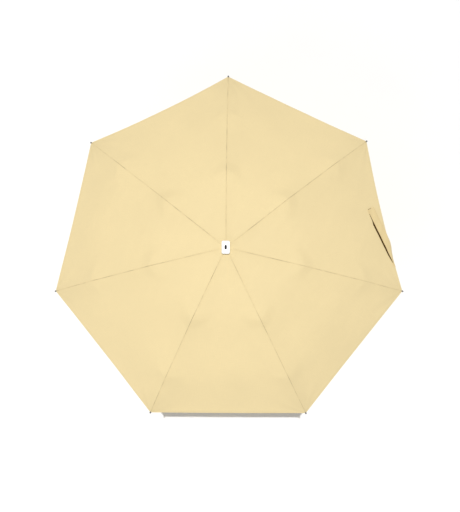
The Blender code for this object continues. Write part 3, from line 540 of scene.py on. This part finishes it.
def revolve(profile, sides):
    """A closed body turned about X from (x, radius) stations that start and end on the axis."""
    form = bmesh.new()
    rings = []
    for x, r in profile:
        if r == 0:
            rings.append([form.verts.new((x, 0, 0))])
        else:
            turn = [2 * math.pi * i / sides for i in range(sides)]
            rings.append([form.verts.new((x, r * math.cos(t), r * math.sin(t))) for t in turn])
    for one, two in zip(rings, rings[1:]):
        for i in range(sides):
            j = (i + 1) % sides
            corners = [one[i % len(one)], one[j % len(one)], two[j % len(two)], two[i % len(two)]]
            form.faces.new(list(dict.fromkeys(corners)))
    bmesh.ops.recalc_face_normals(form, faces=form.faces)
    for face in form.faces:
        face.smooth = True
    mesh = bpy.data.meshes.new("turned")
    form.to_mesh(mesh)
    form.free()
    return mesh


# ---------------------------------------------------------------- materials

class Look:
    """A Principled material with short calls for the nodes that paint it."""

    def __init__(self, name, colour, roughness, metallic=0.0, **uniform):
        self.material = bpy.data.materials.new(name)
        self.material.use_nodes = True
        self.tree = self.material.node_tree
        self.shader = self.tree.nodes["Principled BSDF"]
        self.shader.inputs["Base Color"].default_value = (*colour, 1)
        self.shader.inputs["Roughness"].default_value = roughness
        self.shader.inputs["Metallic"].default_value = metallic
        for socket, value in uniform.items():
            self.shader.inputs[socket.replace("_", " ")].default_value = value

    def node(self, kind, inputs=None, **settings):
        node = self.tree.nodes.new(kind)
        for key, value in settings.items():
            setattr(node, key, value)
        for key, value in (inputs or {}).items():
            if isinstance(value, bpy.types.NodeSocket):
                self.tree.links.new(value, node.inputs[key])
            else:
                node.inputs[key].default_value = value
        return node

    def place(self, scale=(1, 1, 1), source="Object"):
        """Coordinates of the piece itself, stretched by a scale for each axis."""
        if source == "cloth":
            start = self.node("ShaderNodeUVMap", uv_map="cloth").outputs[0]
        else:
            start = self.node("ShaderNodeTexCoord").outputs[source]
        return self.node("ShaderNodeMapping", {"Vector": start, "Scale": scale}).outputs[0]

    def noise(self, vector, scale, detail=3.0, rough=0.55):
        return self.node("ShaderNodeTexNoise", {
            "Vector": vector, "Scale": scale, "Detail": detail, "Roughness": rough}).outputs[0]

    def span(self, value, low, high, to_low, to_high):
        return self.node("ShaderNodeMapRange", {
            "Value": value, "From Min": low, "From Max": high, "To Min": to_low, "To Max": to_high,
        }).outputs[0]

    def math(self, operation, one, two):
        return self.node("ShaderNodeMath", {0: one, 1: two}, operation=operation).outputs[0]

    def tint(self, factor, one, two, blend="MIX"):
        return self.node("ShaderNodeMix", {0: factor, 6: one, 7: two},
                         data_type="RGBA", blend_type=blend).outputs[2]

    def bump(self, height, distance, strength=1.0, normal=None):
        inputs = {"Height": height, "Distance": distance, "Strength": strength}
        if normal is not None:
            inputs["Normal"] = normal
        return self.node("ShaderNodeBump", inputs).outputs[0]

    def drive(self, **sockets):
        for name, value in sockets.items():
            self.tree.links.new(value, self.shader.inputs[name.replace("_", " ")])
        return self.material


def shade(colour, factor):
    return tuple(min(1.0, c * factor) for c in colour) + (1.0,)


def fabric_look(name, colour, weave=0.00042, seam=True):
    """Plain-weave cloth: crossed threads, slubs, faint mottling, darker lines where it is sewn, and painted shade
    towards the rib tips.
    """
    look = Look(name, colour, 0.7, Sheen_Weight=0.18, Sheen_Roughness=0.45, Specular_IOR_Level=0.28)
    threads = look.place(source="cloth")
    wave = {"Vector": threads, "Scale": BANDS_PER_SCALE / weave, "Distortion": 0.6}
    warp, weft = (look.node("ShaderNodeTexWave", wave, wave_type="BANDS", bands_direction=way).outputs[1]
                  for way in "XY")
    crossed = look.math("MULTIPLY", warp, weft)
    slubs = [look.noise(look.place(stretch, "cloth"), 1.0, 2.0) for stretch in SLUB_STRETCHES]
    slubs = look.math("ADD", *slubs)
    mottle = look.noise(look.place(), 9.0, 4.0)
    dull, bright = (shade(colour, factor) for factor in MOTTLE_SHADES)
    base = look.tint(look.span(mottle, 0.35, 0.65, 0.0, 1.0), dull, bright)
    base = look.tint(look.span(slubs, 0.8, 1.2, 0.0, 1.0), shade(colour, SLUB_SHADE), base)
    base = look.tint(look.span(crossed, 0.0, 1.0, WEAVE_PAINT, 0.0), base, shade(colour, WEAVE_SHADE))
    if seam:
        from_seam = look.node("ShaderNodeAttribute", attribute_name="from_seam").outputs["Fac"]
        from_hem = look.node("ShaderNodeAttribute", attribute_name="from_hem").outputs["Fac"]
        line = look.span(from_seam, *SEAM_LINE, SEAM_PAINT, 0.0)
        patchy = look.span(look.noise(look.place(), 26.0, 2.0), 0.40, 0.68, 0.12, 1.0)
        out = look.span(from_hem, *(A_HEM - a for a in PAINT_FADE), 1.0, 0.1)
        seen = look.math("MULTIPLY", look.math("MULTIPLY", line, patchy), out)
        base = look.tint(seen, base, shade(colour, SEAM_SHADE))
        band = look.math("MULTIPLY", look.span(from_seam, *BAND_LINE, BAND_PAINT, 0.0), out)
        base = look.tint(band, base, shade(colour, BAND_SHADE))
        edge = look.span(from_hem, *HEM_LINE, HEM_PAINT, 0.0)
        base = look.tint(edge, base, shade(colour, HEM_SHADE))
        # Painted shade: darker towards each rib's tip, near both the seam and the hem, where the steeper cloth
        # would lie in shade.
        corner = look.math("ADD", from_seam, from_hem)
        darker = look.span(corner, 0.0, SHADED_CORNER_SIZE, CORNER_PAINT, 0.0)
        base = look.tint(darker, base, shade(colour, CORNER_PAINTED_SHADE))
    rough = look.span(mottle, 0.3, 0.7, 0.64, 0.76)
    normal = look.bump(crossed, 0.00006, 0.55)
    normal = look.bump(slubs, 0.00010, 0.30, normal)
    return look.drive(Base_Color=base, Roughness=rough, Normal=normal)


def metal_look(name, colour, roughness, stretch=(1, 1, 1), grain=900.0, wear=0.25):
    """Drawn or rolled metal: fine streaks, faint stains and small bright scuffs."""
    look = Look(name, colour, roughness, 1.0)
    streaks = look.noise(look.place(stretch), grain, 3.0, 0.7)
    stains = look.noise(look.place(), 60.0, 4.0)
    scuffs = look.noise(look.place(stretch), grain / 6, 5.0, 0.8)
    dull, bright = (shade(colour, factor) for factor in METAL_SHADES)
    base = look.tint(look.span(streaks, 0.3, 0.7, 0.0, 1.0), dull, bright)
    base = look.tint(look.span(stains, 0.5, 0.75, 0.0, wear), base, shade(colour, STAIN_SHADE))
    base = look.tint(look.span(scuffs, 0.62, 0.72, 0.0, wear), base, shade(colour, SCUFF_SHADE))
    rough = look.math("ADD", look.span(streaks, 0.3, 0.7, roughness - 0.08, roughness + 0.06),
                      look.span(stains, 0.5, 0.75, 0.0, 0.14))
    return look.drive(Base_Color=base, Roughness=rough, Normal=look.bump(streaks, 0.00003, 0.35))


def plastic_look(name, colour, roughness, grain=1400.0, depth=0.00004, dust=(0.6, 0.6, 0.58), **uniform):
    """Moulded plastic: spark-eroded grain, handling marks and a little dust."""
    look = Look(name, colour, roughness, 0.0, **uniform)
    pores = look.noise(look.place(), grain, 2.0, 0.6)
    marks = look.noise(look.place((1, 1, 0.4)), 120.0, 5.0, 0.65)
    haze = look.noise(look.place(), 45.0, 3.0)
    dull, bright = (shade(colour, factor) for factor in PLASTIC_SHADES)
    base = look.tint(look.span(haze, 0.35, 0.7, 0.0, 1.0), dull, bright)
    base = look.tint(look.span(marks, 0.60, 0.72, 0.0, DUST_PAINT), base, (*dust, 1))
    rough = look.math("ADD", look.span(marks, 0.4, 0.7, roughness - 0.06, roughness + 0.10),
                      look.span(pores, 0.3, 0.7, 0.0, 0.05))
    return look.drive(Base_Color=base, Roughness=rough, Normal=look.bump(pores, depth, 0.5))


FABRIC = (0.815, 0.664, 0.366)
LOOKS = {
    "canopy_fabric": fabric_look("canopy_cloth", FABRIC),
    "strap_fabric": fabric_look("strap_cloth", (0.77, 0.61, 0.315), weave=0.00055, seam=False),
    "washer_fabric": fabric_look("patch_cloth", (0.76, 0.60, 0.31), weave=0.0006, seam=False),
    "thread": fabric_look("sewing_thread", (0.73, 0.58, 0.31), weave=0.0002, seam=False),
    "tack": fabric_look("tack_thread", (0.17, 0.10, 0.035), weave=0.0002, seam=False),
    # Near-black hook tape, dark enough to paint the shadow in the slit under the strap's edge as well.
    "hook_tape": plastic_look("hook_tape", (0.062, 0.030, 0.005), 0.8, grain=2600.0, depth=0.0004,
                              dust=(0.10, 0.06, 0.02), Specular_IOR_Level=0.1),
    "rib_steel": metal_look("rolled_steel", (0.60, 0.60, 0.62), 0.34),
    "rod_steel": metal_look("drawn_steel", (0.56, 0.56, 0.58), 0.36, grain=1300.0),
    "wire_steel": metal_look("wire_steel", (0.44, 0.44, 0.46), 0.40, grain=1800.0),
    "tube_aluminium": metal_look("anodised_tube", (0.74, 0.74, 0.76), 0.27, (1, 1, 0.02), 700.0, 0.15),
    "black_plastic": plastic_look("black_plastic", (0.020, 0.020, 0.021), 0.46, dust=(0.2, 0.2, 0.2)),
    "button_plastic": plastic_look("button_plastic", (0.17, 0.17, 0.18), 0.40),
    "white_plastic": plastic_look("white_plastic", (0.80, 0.795, 0.79), 0.30, depth=0.00002,
                                  dust=(0.7, 0.68, 0.62)),
    "base_plastic": plastic_look("base_plastic", (0.78, 0.78, 0.76), 0.48),
    "dark_inlay": plastic_look("dark_inlay", (0.014, 0.012, 0.012), 0.55, dust=(0.05, 0.05, 0.05),
                               Specular_IOR_Level=0.12),
    "tip": plastic_look("tip_plastic", (0.15, 0.15, 0.16), 0.38, grain=1800.0, dust=(0.3, 0.3, 0.3)),
}


# ---------------------------------------------------------------- camera, floor and light

def add_camera():
    cos, sin = math.cos(CAMERA_ELEVATION), math.sin(CAMERA_ELEVATION)
    back = Vector((math.sin(CAMERA_AZIMUTH) * cos, -math.cos(CAMERA_AZIMUTH) * cos, sin))
    data = bpy.data.cameras.new("camera")
    data.lens = CAMERA_LENS_MM
    data.sensor_width = SENSOR_MM
    camera = bpy.data.objects.new("camera", data)
    right = Vector((math.cos(CAMERA_AZIMUTH), math.sin(CAMERA_AZIMUTH), 0))
    up = back.cross(right)
    level = Matrix((right, up, back)).transposed().to_4x4()
    turn = level @ Matrix.Rotation(CAMERA_ROLL, 4, "Z")
    camera.matrix_world = Matrix.Translation(Vector(CAMERA_TARGET) + back * CAMERA_DISTANCE) @ turn
    bpy.context.scene.collection.objects.link(camera)
    bpy.context.scene.camera = camera


def add_floor():
    form = bmesh.new()
    bmesh.ops.create_grid(form, x_segments=FLOOR_CELLS, y_segments=FLOOR_CELLS, size=FLOOR_SIZE / 2)
    mesh = bpy.data.meshes.new("floor")
    form.to_mesh(mesh)
    form.free()
    look = Look("floor_paper", FLOOR_COLOUR, 0.95, Specular_IOR_Level=0.1)
    tone = look.span(look.noise(look.place(), 2.0), 0.3, 0.7, 0.0, 1.0)
    base = look.tint(tone, FLOOR_DARK, FLOOR_LIGHT)
    floor = new_object("floor", mesh, [look.drive(Base_Color=base)])


def add_light():
    world = bpy.data.worlds.new("sky")
    bpy.context.scene.world = world
    world.use_nodes = True
    background = world.node_tree.nodes["Background"]
    background.inputs["Color"].default_value = (1, 1, 1, 1)
    background.inputs["Strength"].default_value = SKY_STRENGTH
    sun = bpy.data.lights.new("key", "SUN")
    sun.energy = SUN_STRENGTH
    sun.angle = SUN_SPREAD
    key = bpy.data.objects.new("key", sun)
    turn = Matrix.Rotation(SUN_AZIMUTH, 3, "Z") @ Matrix.Rotation(-SUN_TILT, 3, "X")
    key.rotation_euler = turn.to_euler()
    bpy.context.scene.collection.objects.link(key)
    area = bpy.data.lights.new("fill", "AREA")
    area.energy = FILL_POWER
    area.size = FILL_SIZE
    fill = bpy.data.objects.new("fill", area)
    fill.location = FILL_PLACE
    fill.rotation_euler = (Vector(FILL_AIM) - Vector(FILL_PLACE)).to_track_quat("-Z", "Y").to_euler()
    bpy.context.scene.collection.objects.link(fill)
    bpy.context.scene.view_settings.view_transform = "Standard"


# ---------------------------------------------------------------- canopy

SECTIONS = {"inner": (A_CENTRE, A_KNEE), "middle": (A_KNEE, A_ELBOW), "outer": (A_ELBOW, A_HEM)}
SECTION_BODY = {"inner": "top_rib", "middle": "middle_rib", "outer": "outer_rib"}
SECTION_SLOPE = {"inner": TOP_SLOPE, "middle": MIDDLE_SLOPE, "outer": OUTER_SLOPE}

# Where the cloth passes a hinge it is divided square to the rib, so that it folds beside its own member.
LEANS = {
    A_CENTRE: 0.0,
    A_KNEE: HALF_GORE * math.cos((TOP_SLOPE + MIDDLE_SLOPE) / 2),
    A_ELBOW: HALF_GORE * math.cos((MIDDLE_SLOPE + OUTER_SLOPE) / 2),
    A_HEM: 0.0,
}


def cloth_rows(start, end):
    """For each row of a piece, its distance along the rib and how much that grows across the gore."""
    fold = [end - h for h in HEM_ROWS] if end == A_HEM else [end]
    count = max(LEAST_ROWS, round((fold[-1] - start) / ROW_STEP))
    share = np.linspace(0, 1, count + 1)[:, None]
    even = (1 - share) * [start, LEANS[start]] + share * [fold[-1], LEANS[end]]
    folded = [[a, LEANS[end]] for a in fold[-2::-1]]
    before, after = even[0] - (even[1] - even[0]) * BEFORE_SHARE, [end, LEANS[end]]
    last = np.array(after) + (np.array(after) - even[-2]) / np.linalg.norm(after - even[-2]) * AFTER_STEP
    return np.array([before, *even, *folded, last])


def cloth_grid(rows):
    """Distances along and from the rib for every point of a piece's grid."""
    steps = (np.arange(1, GORE_COLUMNS + 1) / GORE_COLUMNS) ** COLUMN_SPREAD
    seam = np.broadcast_to(np.array(SEAM_COLUMNS), (len(rows), len(SEAM_COLUMNS)))
    a = np.repeat(rows[:, :1], len(SEAM_COLUMNS) + GORE_COLUMNS, axis=1)
    for _ in range(GRID_PASSES):
        width = half_chord(a[:, len(SEAM_COLUMNS):])
        b = np.concatenate([seam, SEAM_COLUMNS[-1] + (width - SEAM_COLUMNS[-1]) * steps], axis=1)
        a = rows[:, :1] + rows[:, 1:] * b
    return a, b


def shell_offsets(a, b):
    """Heights of the cloth's upper and lower face over its middle surface."""
    from_hem = np.maximum(A_HEM - a, 0)
    in_seam = 1 - ramp(b, SEAM_HALF_WIDTH - SEAM_SOFTNESS, SEAM_HALF_WIDTH + SEAM_SOFTNESS)
    groove = 1 - ramp(b, 0.0, SEAM_COLUMNS[2])
    in_hem = 1 - ramp(from_hem, HEM_WIDTH - HEM_SOFTNESS[0], HEM_WIDTH + HEM_SOFTNESS[1])
    sewn = np.exp(-(((from_hem - HEM_STITCH_LINE) / SEWN_WIDTH) ** 2))
    rolled = 1 - HEM_ROLL * (1 - ramp(from_hem, 0.0, HEM_ROWS[1]))
    top = HALF_CLOTH + SEAM_PROUD * in_seam - (SEAM_PROUD + SEAM_GROOVE) * groove
    top = (top + HEM_PROUD * in_hem - SEWN_DIP * sewn) * rolled
    bottom = (HALF_CLOTH + SEAM_UNDER * in_seam + HEM_FOLD * in_hem - SEWN_DIP_UNDER * sewn) * rolled
    return top, bottom


def panel_mesh(k, side, section, name):
    """A closed shell, one half gore over one of a rib's sections, and its flat pattern's size and area."""
    start, end = SECTIONS[section]
    a, b = cloth_grid(cloth_rows(start, end))
    a = np.concatenate([a, 2 * a[:, -1:] - a[:, -2:-1]], axis=1)
    b = np.concatenate([b, 2 * b[:, -1:] - b[:, -2:-1]], axis=1)
    place, _, _, normal = cloth_frame(k, side, a, b)
    top, bottom = shell_offsets(a, b)
    faces = []
    for height, sign in ((top, 1), (-bottom, -1)):
        points = place + normal * height[..., None]
        outward = grid_normals(points) * side * sign
        faces.append((points[1:-1, :-1], outward[1:-1, :-1]))
    a, b = a[1:-1, :-1], b[1:-1, :-1]
    grain_x = (half_chord(a) - b) * side
    data = np.stack([grain_x, a, b, A_HEM - a], axis=-1)
    build = Build()
    (upper, upper_normal), (lower, lower_normal) = faces
    first = [build.add(upper, upper_normal, data), build.add(lower, lower_normal, data)]
    close_grid(build, first, *a.shape, side)
    sew_panel(build, k, side, start, end)
    lean = HALF_GORE * math.cos(SECTION_SLOPE[section])
    pattern = np.stack([b * math.sqrt(1 - lean**2), a - b * lean, np.zeros_like(a)], axis=-1)
    rows, columns = np.diff(pattern, axis=0)[:, :-1], np.diff(pattern, axis=1)[:-1]
    area = float(np.linalg.norm(np.cross(rows, columns), axis=-1).sum())
    width, length, _ = np.ptp(pattern.reshape(-1, 3), axis=0)
    return build.mesh(name), (float(width), float(length)), area


def sew_panel(build, k, side, start, end):
    """Stitches beside the rib seam, and along the hem where the piece reaches it."""
    low, high = max(start, A_CENTRE + STITCH_FROM_CENTRE), min(end, A_HEM - STITCH_FROM_CORNER)
    a = np.arange(low + STITCH_PITCH / 2, high, STITCH_PITCH)
    b = np.full_like(a, SEAM_STITCH_LINE)
    place, along, _, normal = cloth_frame(k, side, a, b)
    top = shell_offsets(a, b)[0]
    add_stitches(build, place + normal * top[:, None], along, normal, 1)
    if end == A_HEM:
        line = A_HEM - HEM_STITCH_LINE
        b = np.arange(STITCH_FROM_CORNER, float(half_chord(line)), STITCH_PITCH)
        a = np.full_like(b, line)
        place, _, across, normal = cloth_frame(k, side, a, b)
        top = shell_offsets(a, b)[0]
        add_stitches(build, place + normal * top[:, None], across, normal, 1)


def fold_axis(k, side, section):
    """Square to the rib, from it to the middle of the gore: the direction in which the half gore gathers."""
    start, end = SECTIONS[section]
    one, two = cloth(k, side, np.array([start, end]), np.array([0.0, 0.0]))
    along = Vector(two - one).normalized()
    half_way = (start + end) / 2
    near, far = cloth(k, side, np.array([half_way, half_way]), np.array([0.0, float(half_chord(half_way))]))
    across = Vector(far - near)
    return (across - along * across.dot(along)).normalized(), Vector(one)


def add_panels():
    for k in range(RIB_COUNT):
        for side, letter in ((1, "a"), (-1, "b")):
            for section in SECTIONS:
                name = f"panel_{k + 1}{letter}_{section}"
                mesh, flat, area = panel_mesh(k, side, section, name)
                piece = new_object(name, mesh, [LOOKS["canopy_fabric"], LOOKS["thread"]])
                body = f"{SECTION_BODY[section]}_{k + 1}"
                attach(piece, body)
                axis, anchor = fold_axis(k, side, section)
                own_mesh(piece)
                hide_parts("canopy")


def add_centre():
    """The middle of the canopy, which the cap holds down on the crown."""
    build = Build()
    rows = np.linspace(A_HOLE, A_CENTRE, CENTRE_ROWS)
    around, rings = [], []
    for k in range(RIB_COUNT):
        around += [(k, 1, w) for w in CENTRE_SHARES]
        around += [((k + 1) % RIB_COUNT, -1, w) for w in CENTRE_SHARES[-2:0:-1]]
    for a in rows:
        ring = []
        for k, side, w in around:
            b = w * float(half_chord(a))
            place, _, _, normal = cloth_frame(k, side, np.array([a]), np.array([b]))
            ring.append((place[0], normal[0], (half_chord(a) - b) * side, a, max(b, CENTRE_CLEAR)))
        rings.append(ring)
    first = []
    for sign in (1, -1):
        points = np.array([[p + n * HALF_CLOTH * sign for p, n, *_ in ring] for ring in rings])
        data = np.array([[(x, a, b, A_HEM - a) for _, _, x, a, b in ring] for ring in rings])
        first.append(build.add(points, None, data))
    close_rings(build, first, CENTRE_ROWS, len(around))
    piece = new_object("canopy_centre", build.mesh("canopy_centre"), [LOOKS["canopy_fabric"]])
    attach(piece, "upper_frame")
    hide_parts("canopy")


def add_patch():
    """The round reinforcing patch under the middle of the cloth, with a pinked edge."""
    low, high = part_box("canopy_washer")
    outer = (high.x - low.x) / 2
    build = Build()
    layers = []
    for z in (high.z - PATCH_TOP_GAP, low.z + PATCH_LOW_GAP):
        rings = []
        for share in PATCH_RINGS:
            for i in range(PATCH_POINTS):
                turn = 2 * math.pi * i / PATCH_POINTS
                radius = PATCH_HOLE + (outer - PATCH_HOLE) * share
                if share == PATCH_RINGS[-1] and i % 2:
                    radius -= PATCH_TOOTH
                wave = PATCH_WAVE * math.sin(PATCH_WAVES * turn)
                rings.append((radius * math.cos(turn), radius * math.sin(turn), z + wave))
        points = np.array(rings)
        data = np.zeros((len(points), 4))
        data[:, :2] = points[:, :2]
        layers.append(build.add(points, None, data))
    close_rings(build, layers, len(PATCH_RINGS), PATCH_POINTS)
    piece = new_object("centre_patch", build.mesh("centre_patch"), [LOOKS["washer_fabric"]])
    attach(piece, "upper_frame")
    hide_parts("canopy_washer")


# ---------------------------------------------------------------- tips and ties

def rib_matrix(k, along):
    """Placement on an outer rib's centre line, with X along the rib and Z out of the cloth."""
    u, z = above(ELBOW_PIVOT, OUTER_SLOPE, -ELBOW_DROP, along, 0.0)
    turn = Matrix.Rotation(RIB_ANGLES[k], 4, "Z") @ Matrix.Rotation(-OUTER_SLOPE, 4, "Y")
    spot = Vector((u * math.cos(RIB_ANGLES[k]), u * math.sin(RIB_ANGLES[k]), z + CROWN_HEIGHT))
    return Matrix.Translation(spot) @ turn


def add_tips():
    length = float(np.linalg.norm(TIP_POINT - above(ELBOW_PIVOT, OUTER_SLOPE, -ELBOW_DROP, 0, 0)))
    for k in range(RIB_COUNT):
        tip = new_object(f"tip_cap_{k + 1}", revolve(TIP_PROFILE, TIP_SIDES), [LOOKS["tip"]])
        tip.data.transform(rib_matrix(k, length))
        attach(tip, f"outer_rib_{k + 1}")


# ---------------------------------------------------------------- strap

def at_share(table, t):
    return float(np.interp(t, [x for x, _ in table], [y for _, y in table]))


def strap_frame(t):
    """At a share of the strap's length: its inner edge on the cloth, its run, outward side and normal."""
    def spot(share):
        start, end = np.array(STRAP_START), np.array(STRAP_END)
        return on_gore(STRAP_RIB, *(start + (end - start) * share))
    place, normal = spot(t)
    run = spot(t + STRAP_RUN_STEP)[0] - spot(t - STRAP_RUN_STEP)[0]
    run -= normal * np.dot(run, normal)
    run /= np.linalg.norm(run)
    return place, run, np.cross(normal, run), normal


def strap_section(t, offset):
    """Points across the strap at a share of its length, which roll over the hem towards its end."""
    place, _, out, normal = strap_frame(t)
    lift, roll = at_share(STRAP_LIFTS, t), math.radians(at_share(STRAP_ROLLS, t))
    steps = STRAP_SUBSTEPS * STRAP_COLUMNS
    share = (np.arange(steps) + 0.5) / steps
    curl = at_share(STRAP_CURLS, t)
    angle = roll * share**curl - STRAP_ARCH * np.sin(math.pi * share)
    step = STRAP_WIDTH / steps
    x = np.concatenate([[0], np.cumsum(np.cos(angle)) * step])[::STRAP_SUBSTEPS]
    drop = np.concatenate([[0], np.cumsum(np.sin(angle)) * step])[::STRAP_SUBSTEPS]
    turn = roll * (np.arange(STRAP_COLUMNS + 1) / STRAP_COLUMNS) ** curl
    ripple = STRAP_RIPPLE * np.sin(RIPPLE_ALONG * t + RIPPLE_ACROSS * np.arange(STRAP_COLUMNS + 1))
    points = place + out * x[:, None] + normal * (lift - drop + ripple)[:, None]
    facing = normal * np.cos(turn)[:, None] + out * np.sin(turn)[:, None]
    thin = np.full(STRAP_COLUMNS + 1, offset)
    thin[[0, -1]] *= STRAP_EDGE_SHARE
    return points + facing * thin[:, None]


def shell(build, upper, lower, data, slot=0):
    """A closed body between two grids of points."""
    first = [build.add(upper, grid_normals(upper), data), build.add(lower, -grid_normals(lower), data)]
    close_grid(build, first, *upper.shape[:2], slot=slot)


def fold_with_strap_panel(piece):
    body = f"outer_rib_{STRAP_RIB + 1}"
    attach(piece, body)
    axis, anchor = fold_axis(STRAP_RIB, 1, "outer")
    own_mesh(piece)
    return body


def add_strap():
    """The band that ties the folded umbrella, its dark hook tape, which also paints the shadow in the slit under
    the band's inner edge, and the tack that holds its end.
    """
    shares = np.linspace(0, 1, STRAP_STATIONS + 1)
    edge = np.array([strap_frame(t)[0] for t in shares])
    length = float(np.linalg.norm(np.diff(edge, axis=0), axis=1).sum())
    upper = np.array([strap_section(t, STRAP_HALF_THICKNESS) for t in shares])
    lower = np.array([strap_section(t, -STRAP_HALF_THICKNESS) for t in shares])
    x, y = np.meshgrid(np.linspace(0, STRAP_WIDTH, STRAP_COLUMNS + 1), shares * length)
    data = np.stack([x, y, x, x], axis=-1)
    build = Build()
    shell(build, upper, lower, data)
    for column in (1, STRAP_COLUMNS - 1):
        for t in np.arange(*STRAP_STITCHES, STITCH_PITCH / length):
            one, two = strap_section(t, STRAP_HALF_THICKNESS)[[column, column - 1]]
            ahead = strap_section(t + STRAP_STITCH_AHEAD, STRAP_HALF_THICKNESS)[column]
            run = (ahead - one) / np.linalg.norm(ahead - one)
            facing = np.cross(one - two, run)
            facing /= np.linalg.norm(facing)
            facing *= np.sign(np.dot(facing, strap_frame(t)[3])) or 1
            add_stitches(build, [one], [run], [facing], 1)
    band = new_object("strap_band", build.mesh("strap_band"), [LOOKS["strap_fabric"], LOOKS["thread"]])
    body = fold_with_strap_panel(band)
    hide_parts("tie_strap")

    # The dark tape under the strap's inner edge, which also paints the slit's shadow.
    build = Build()
    rows, under = [], []
    for t in np.linspace(HOOK_AND_SHADOW_WIDTHS[0][0], HOOK_AND_SHADOW_WIDTHS[-1][0], HOOK_STATIONS):
        place, _, out, normal = strap_frame(t)
        width, lift = at_share(HOOK_AND_SHADOW_WIDTHS, t), at_share(STRAP_LIFTS, t)
        across = np.linspace(*HOOK_ACROSS, HOOK_COLUMNS)
        fuzz = HOOK_FUZZ * np.sin(FUZZ_ALONG * t + FUZZ_ACROSS * across)
        line = place + out * (across * width + HOOK_OFFSET)[:, None]
        raised = lift * HOOK_LIFT * ramp(across, *HOOK_ACROSS)
        rows.append(line + normal * (HOOK_TOP + raised + fuzz)[:, None])
        under.append(line + normal * (HOOK_UNDER + raised - HOOK_SINK)[:, None])
    data = np.zeros((HOOK_STATIONS, HOOK_COLUMNS, 4))
    x, y = np.meshgrid(np.linspace(0, HOOK_WEAVE_WIDTH, HOOK_COLUMNS), np.linspace(0, length, HOOK_STATIONS))
    data[..., 0], data[..., 1] = x, y
    shell(build, np.array(rows), np.array(under), data)
    fold_with_strap_panel(new_object("strap_hook_tape_and_slit_shadow", build.mesh("strap_hook_tape_and_slit_shadow"), [LOOKS["hook_tape"]]))

    build = Build()
    place, run, out, normal = strap_frame(0.0)
    for i in range(TACK_THREADS):
        centre = place + out * (TACK_LENGTH * i / (TACK_THREADS - 1) + TACK_INSET) - run * TACK_BACK
        lean = run + out * (TACK_LEAN if i % 2 else -TACK_LEAN)
        lean /= np.linalg.norm(lean)
        lift = at_share(STRAP_LIFTS, 0.0) + STRAP_HALF_THICKNESS + TACK_RAISE
        add_stitches(build, [centre + normal * lift], [lean], [normal], 0)
    fold_with_strap_panel(new_object("strap_tack", build.mesh("strap_tack"), [LOOKS["tack"]]))


# ---------------------------------------------------------------- ties

TIED = {"middle": (KNEE_PIVOT, MIDDLE_SLOPE, KNEE_RISE), "outer": (ELBOW_PIVOT, OUTER_SLOPE, -ELBOW_DROP)}


def tie_loop(section, along, lane, reach):
    """Points of a thread's centre line round a member: outwards, across and up."""
    pivot, slope, rise = TIED[section]
    loop = []
    for turn in range(TIE_TURNS):
        angle = 2 * math.pi * turn / TIE_TURNS
        height = reach * math.sin(angle) + TIE_CLEAR
        u, z = above(pivot, slope, rise, along + TIE_SLANT * math.cos(angle), height)
        t = lane * (0.5 - 0.5 * math.sin(angle)) + (reach + TIE_CLEAR) * math.cos(angle)
        loop.append((u, t, z + CROWN_HEIGHT))
    return np.array(loop)


def add_tie(name, k, section, loop):
    """One loop of thread, turned into a rib's plane."""
    centre = loop.mean(axis=0)
    turns = 2 * math.pi * np.arange(TIE_SIDES) / TIE_SIDES
    rings = []
    for i, point in enumerate(loop):
        ahead = loop[(i + 1) % TIE_TURNS] - loop[i - 1]
        ahead /= np.linalg.norm(ahead)
        side = point - centre
        side -= ahead * np.dot(side, ahead)
        side /= np.linalg.norm(side)
        third = np.cross(ahead, side)
        wall = side * np.cos(turns)[:, None] + third * np.sin(turns)[:, None]
        rings.append(point + TIE_THREAD * wall)
    points = np.array(rings).reshape(-1, 3)
    cos, sin = math.cos(RIB_ANGLES[k]), math.sin(RIB_ANGLES[k])
    x, y = points[:, 0] * cos - points[:, 1] * sin, points[:, 0] * sin + points[:, 1] * cos
    build = Build()
    first = build.add(np.stack([x, y, points[:, 2]], axis=1))
    for i in range(TIE_TURNS):
        p, q = first + i * TIE_SIDES, first + (i + 1) % TIE_TURNS * TIE_SIDES
        for j in range(TIE_SIDES):
            beside = (j + 1) % TIE_SIDES
            build.face((p + j, q + j, q + beside, p + beside))
    tie = new_object(name, build.mesh(name), [LOOKS["thread"]])
    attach(tie, f"{SECTION_BODY[section]}_{k + 1}")


def add_ties():
    """Loops of thread round the ribs, from the seams above them."""
    for k in range(RIB_COUNT):
        for count, (section, *where) in enumerate(TIES):
            add_tie(f"tie_{k + 1}_{count + 1}", k, section, tie_loop(section, *where))


add_camera()
add_floor()
add_light()
add_panels()
add_centre()
add_patch()
add_tips()
add_strap()
add_ties()

for row in frame["record"]["subparts"]:
    node = frame["nodes"][row["node"]]
    for slot in node.material_slots:
        slot.material = LOOKS[row["material_slot"]]
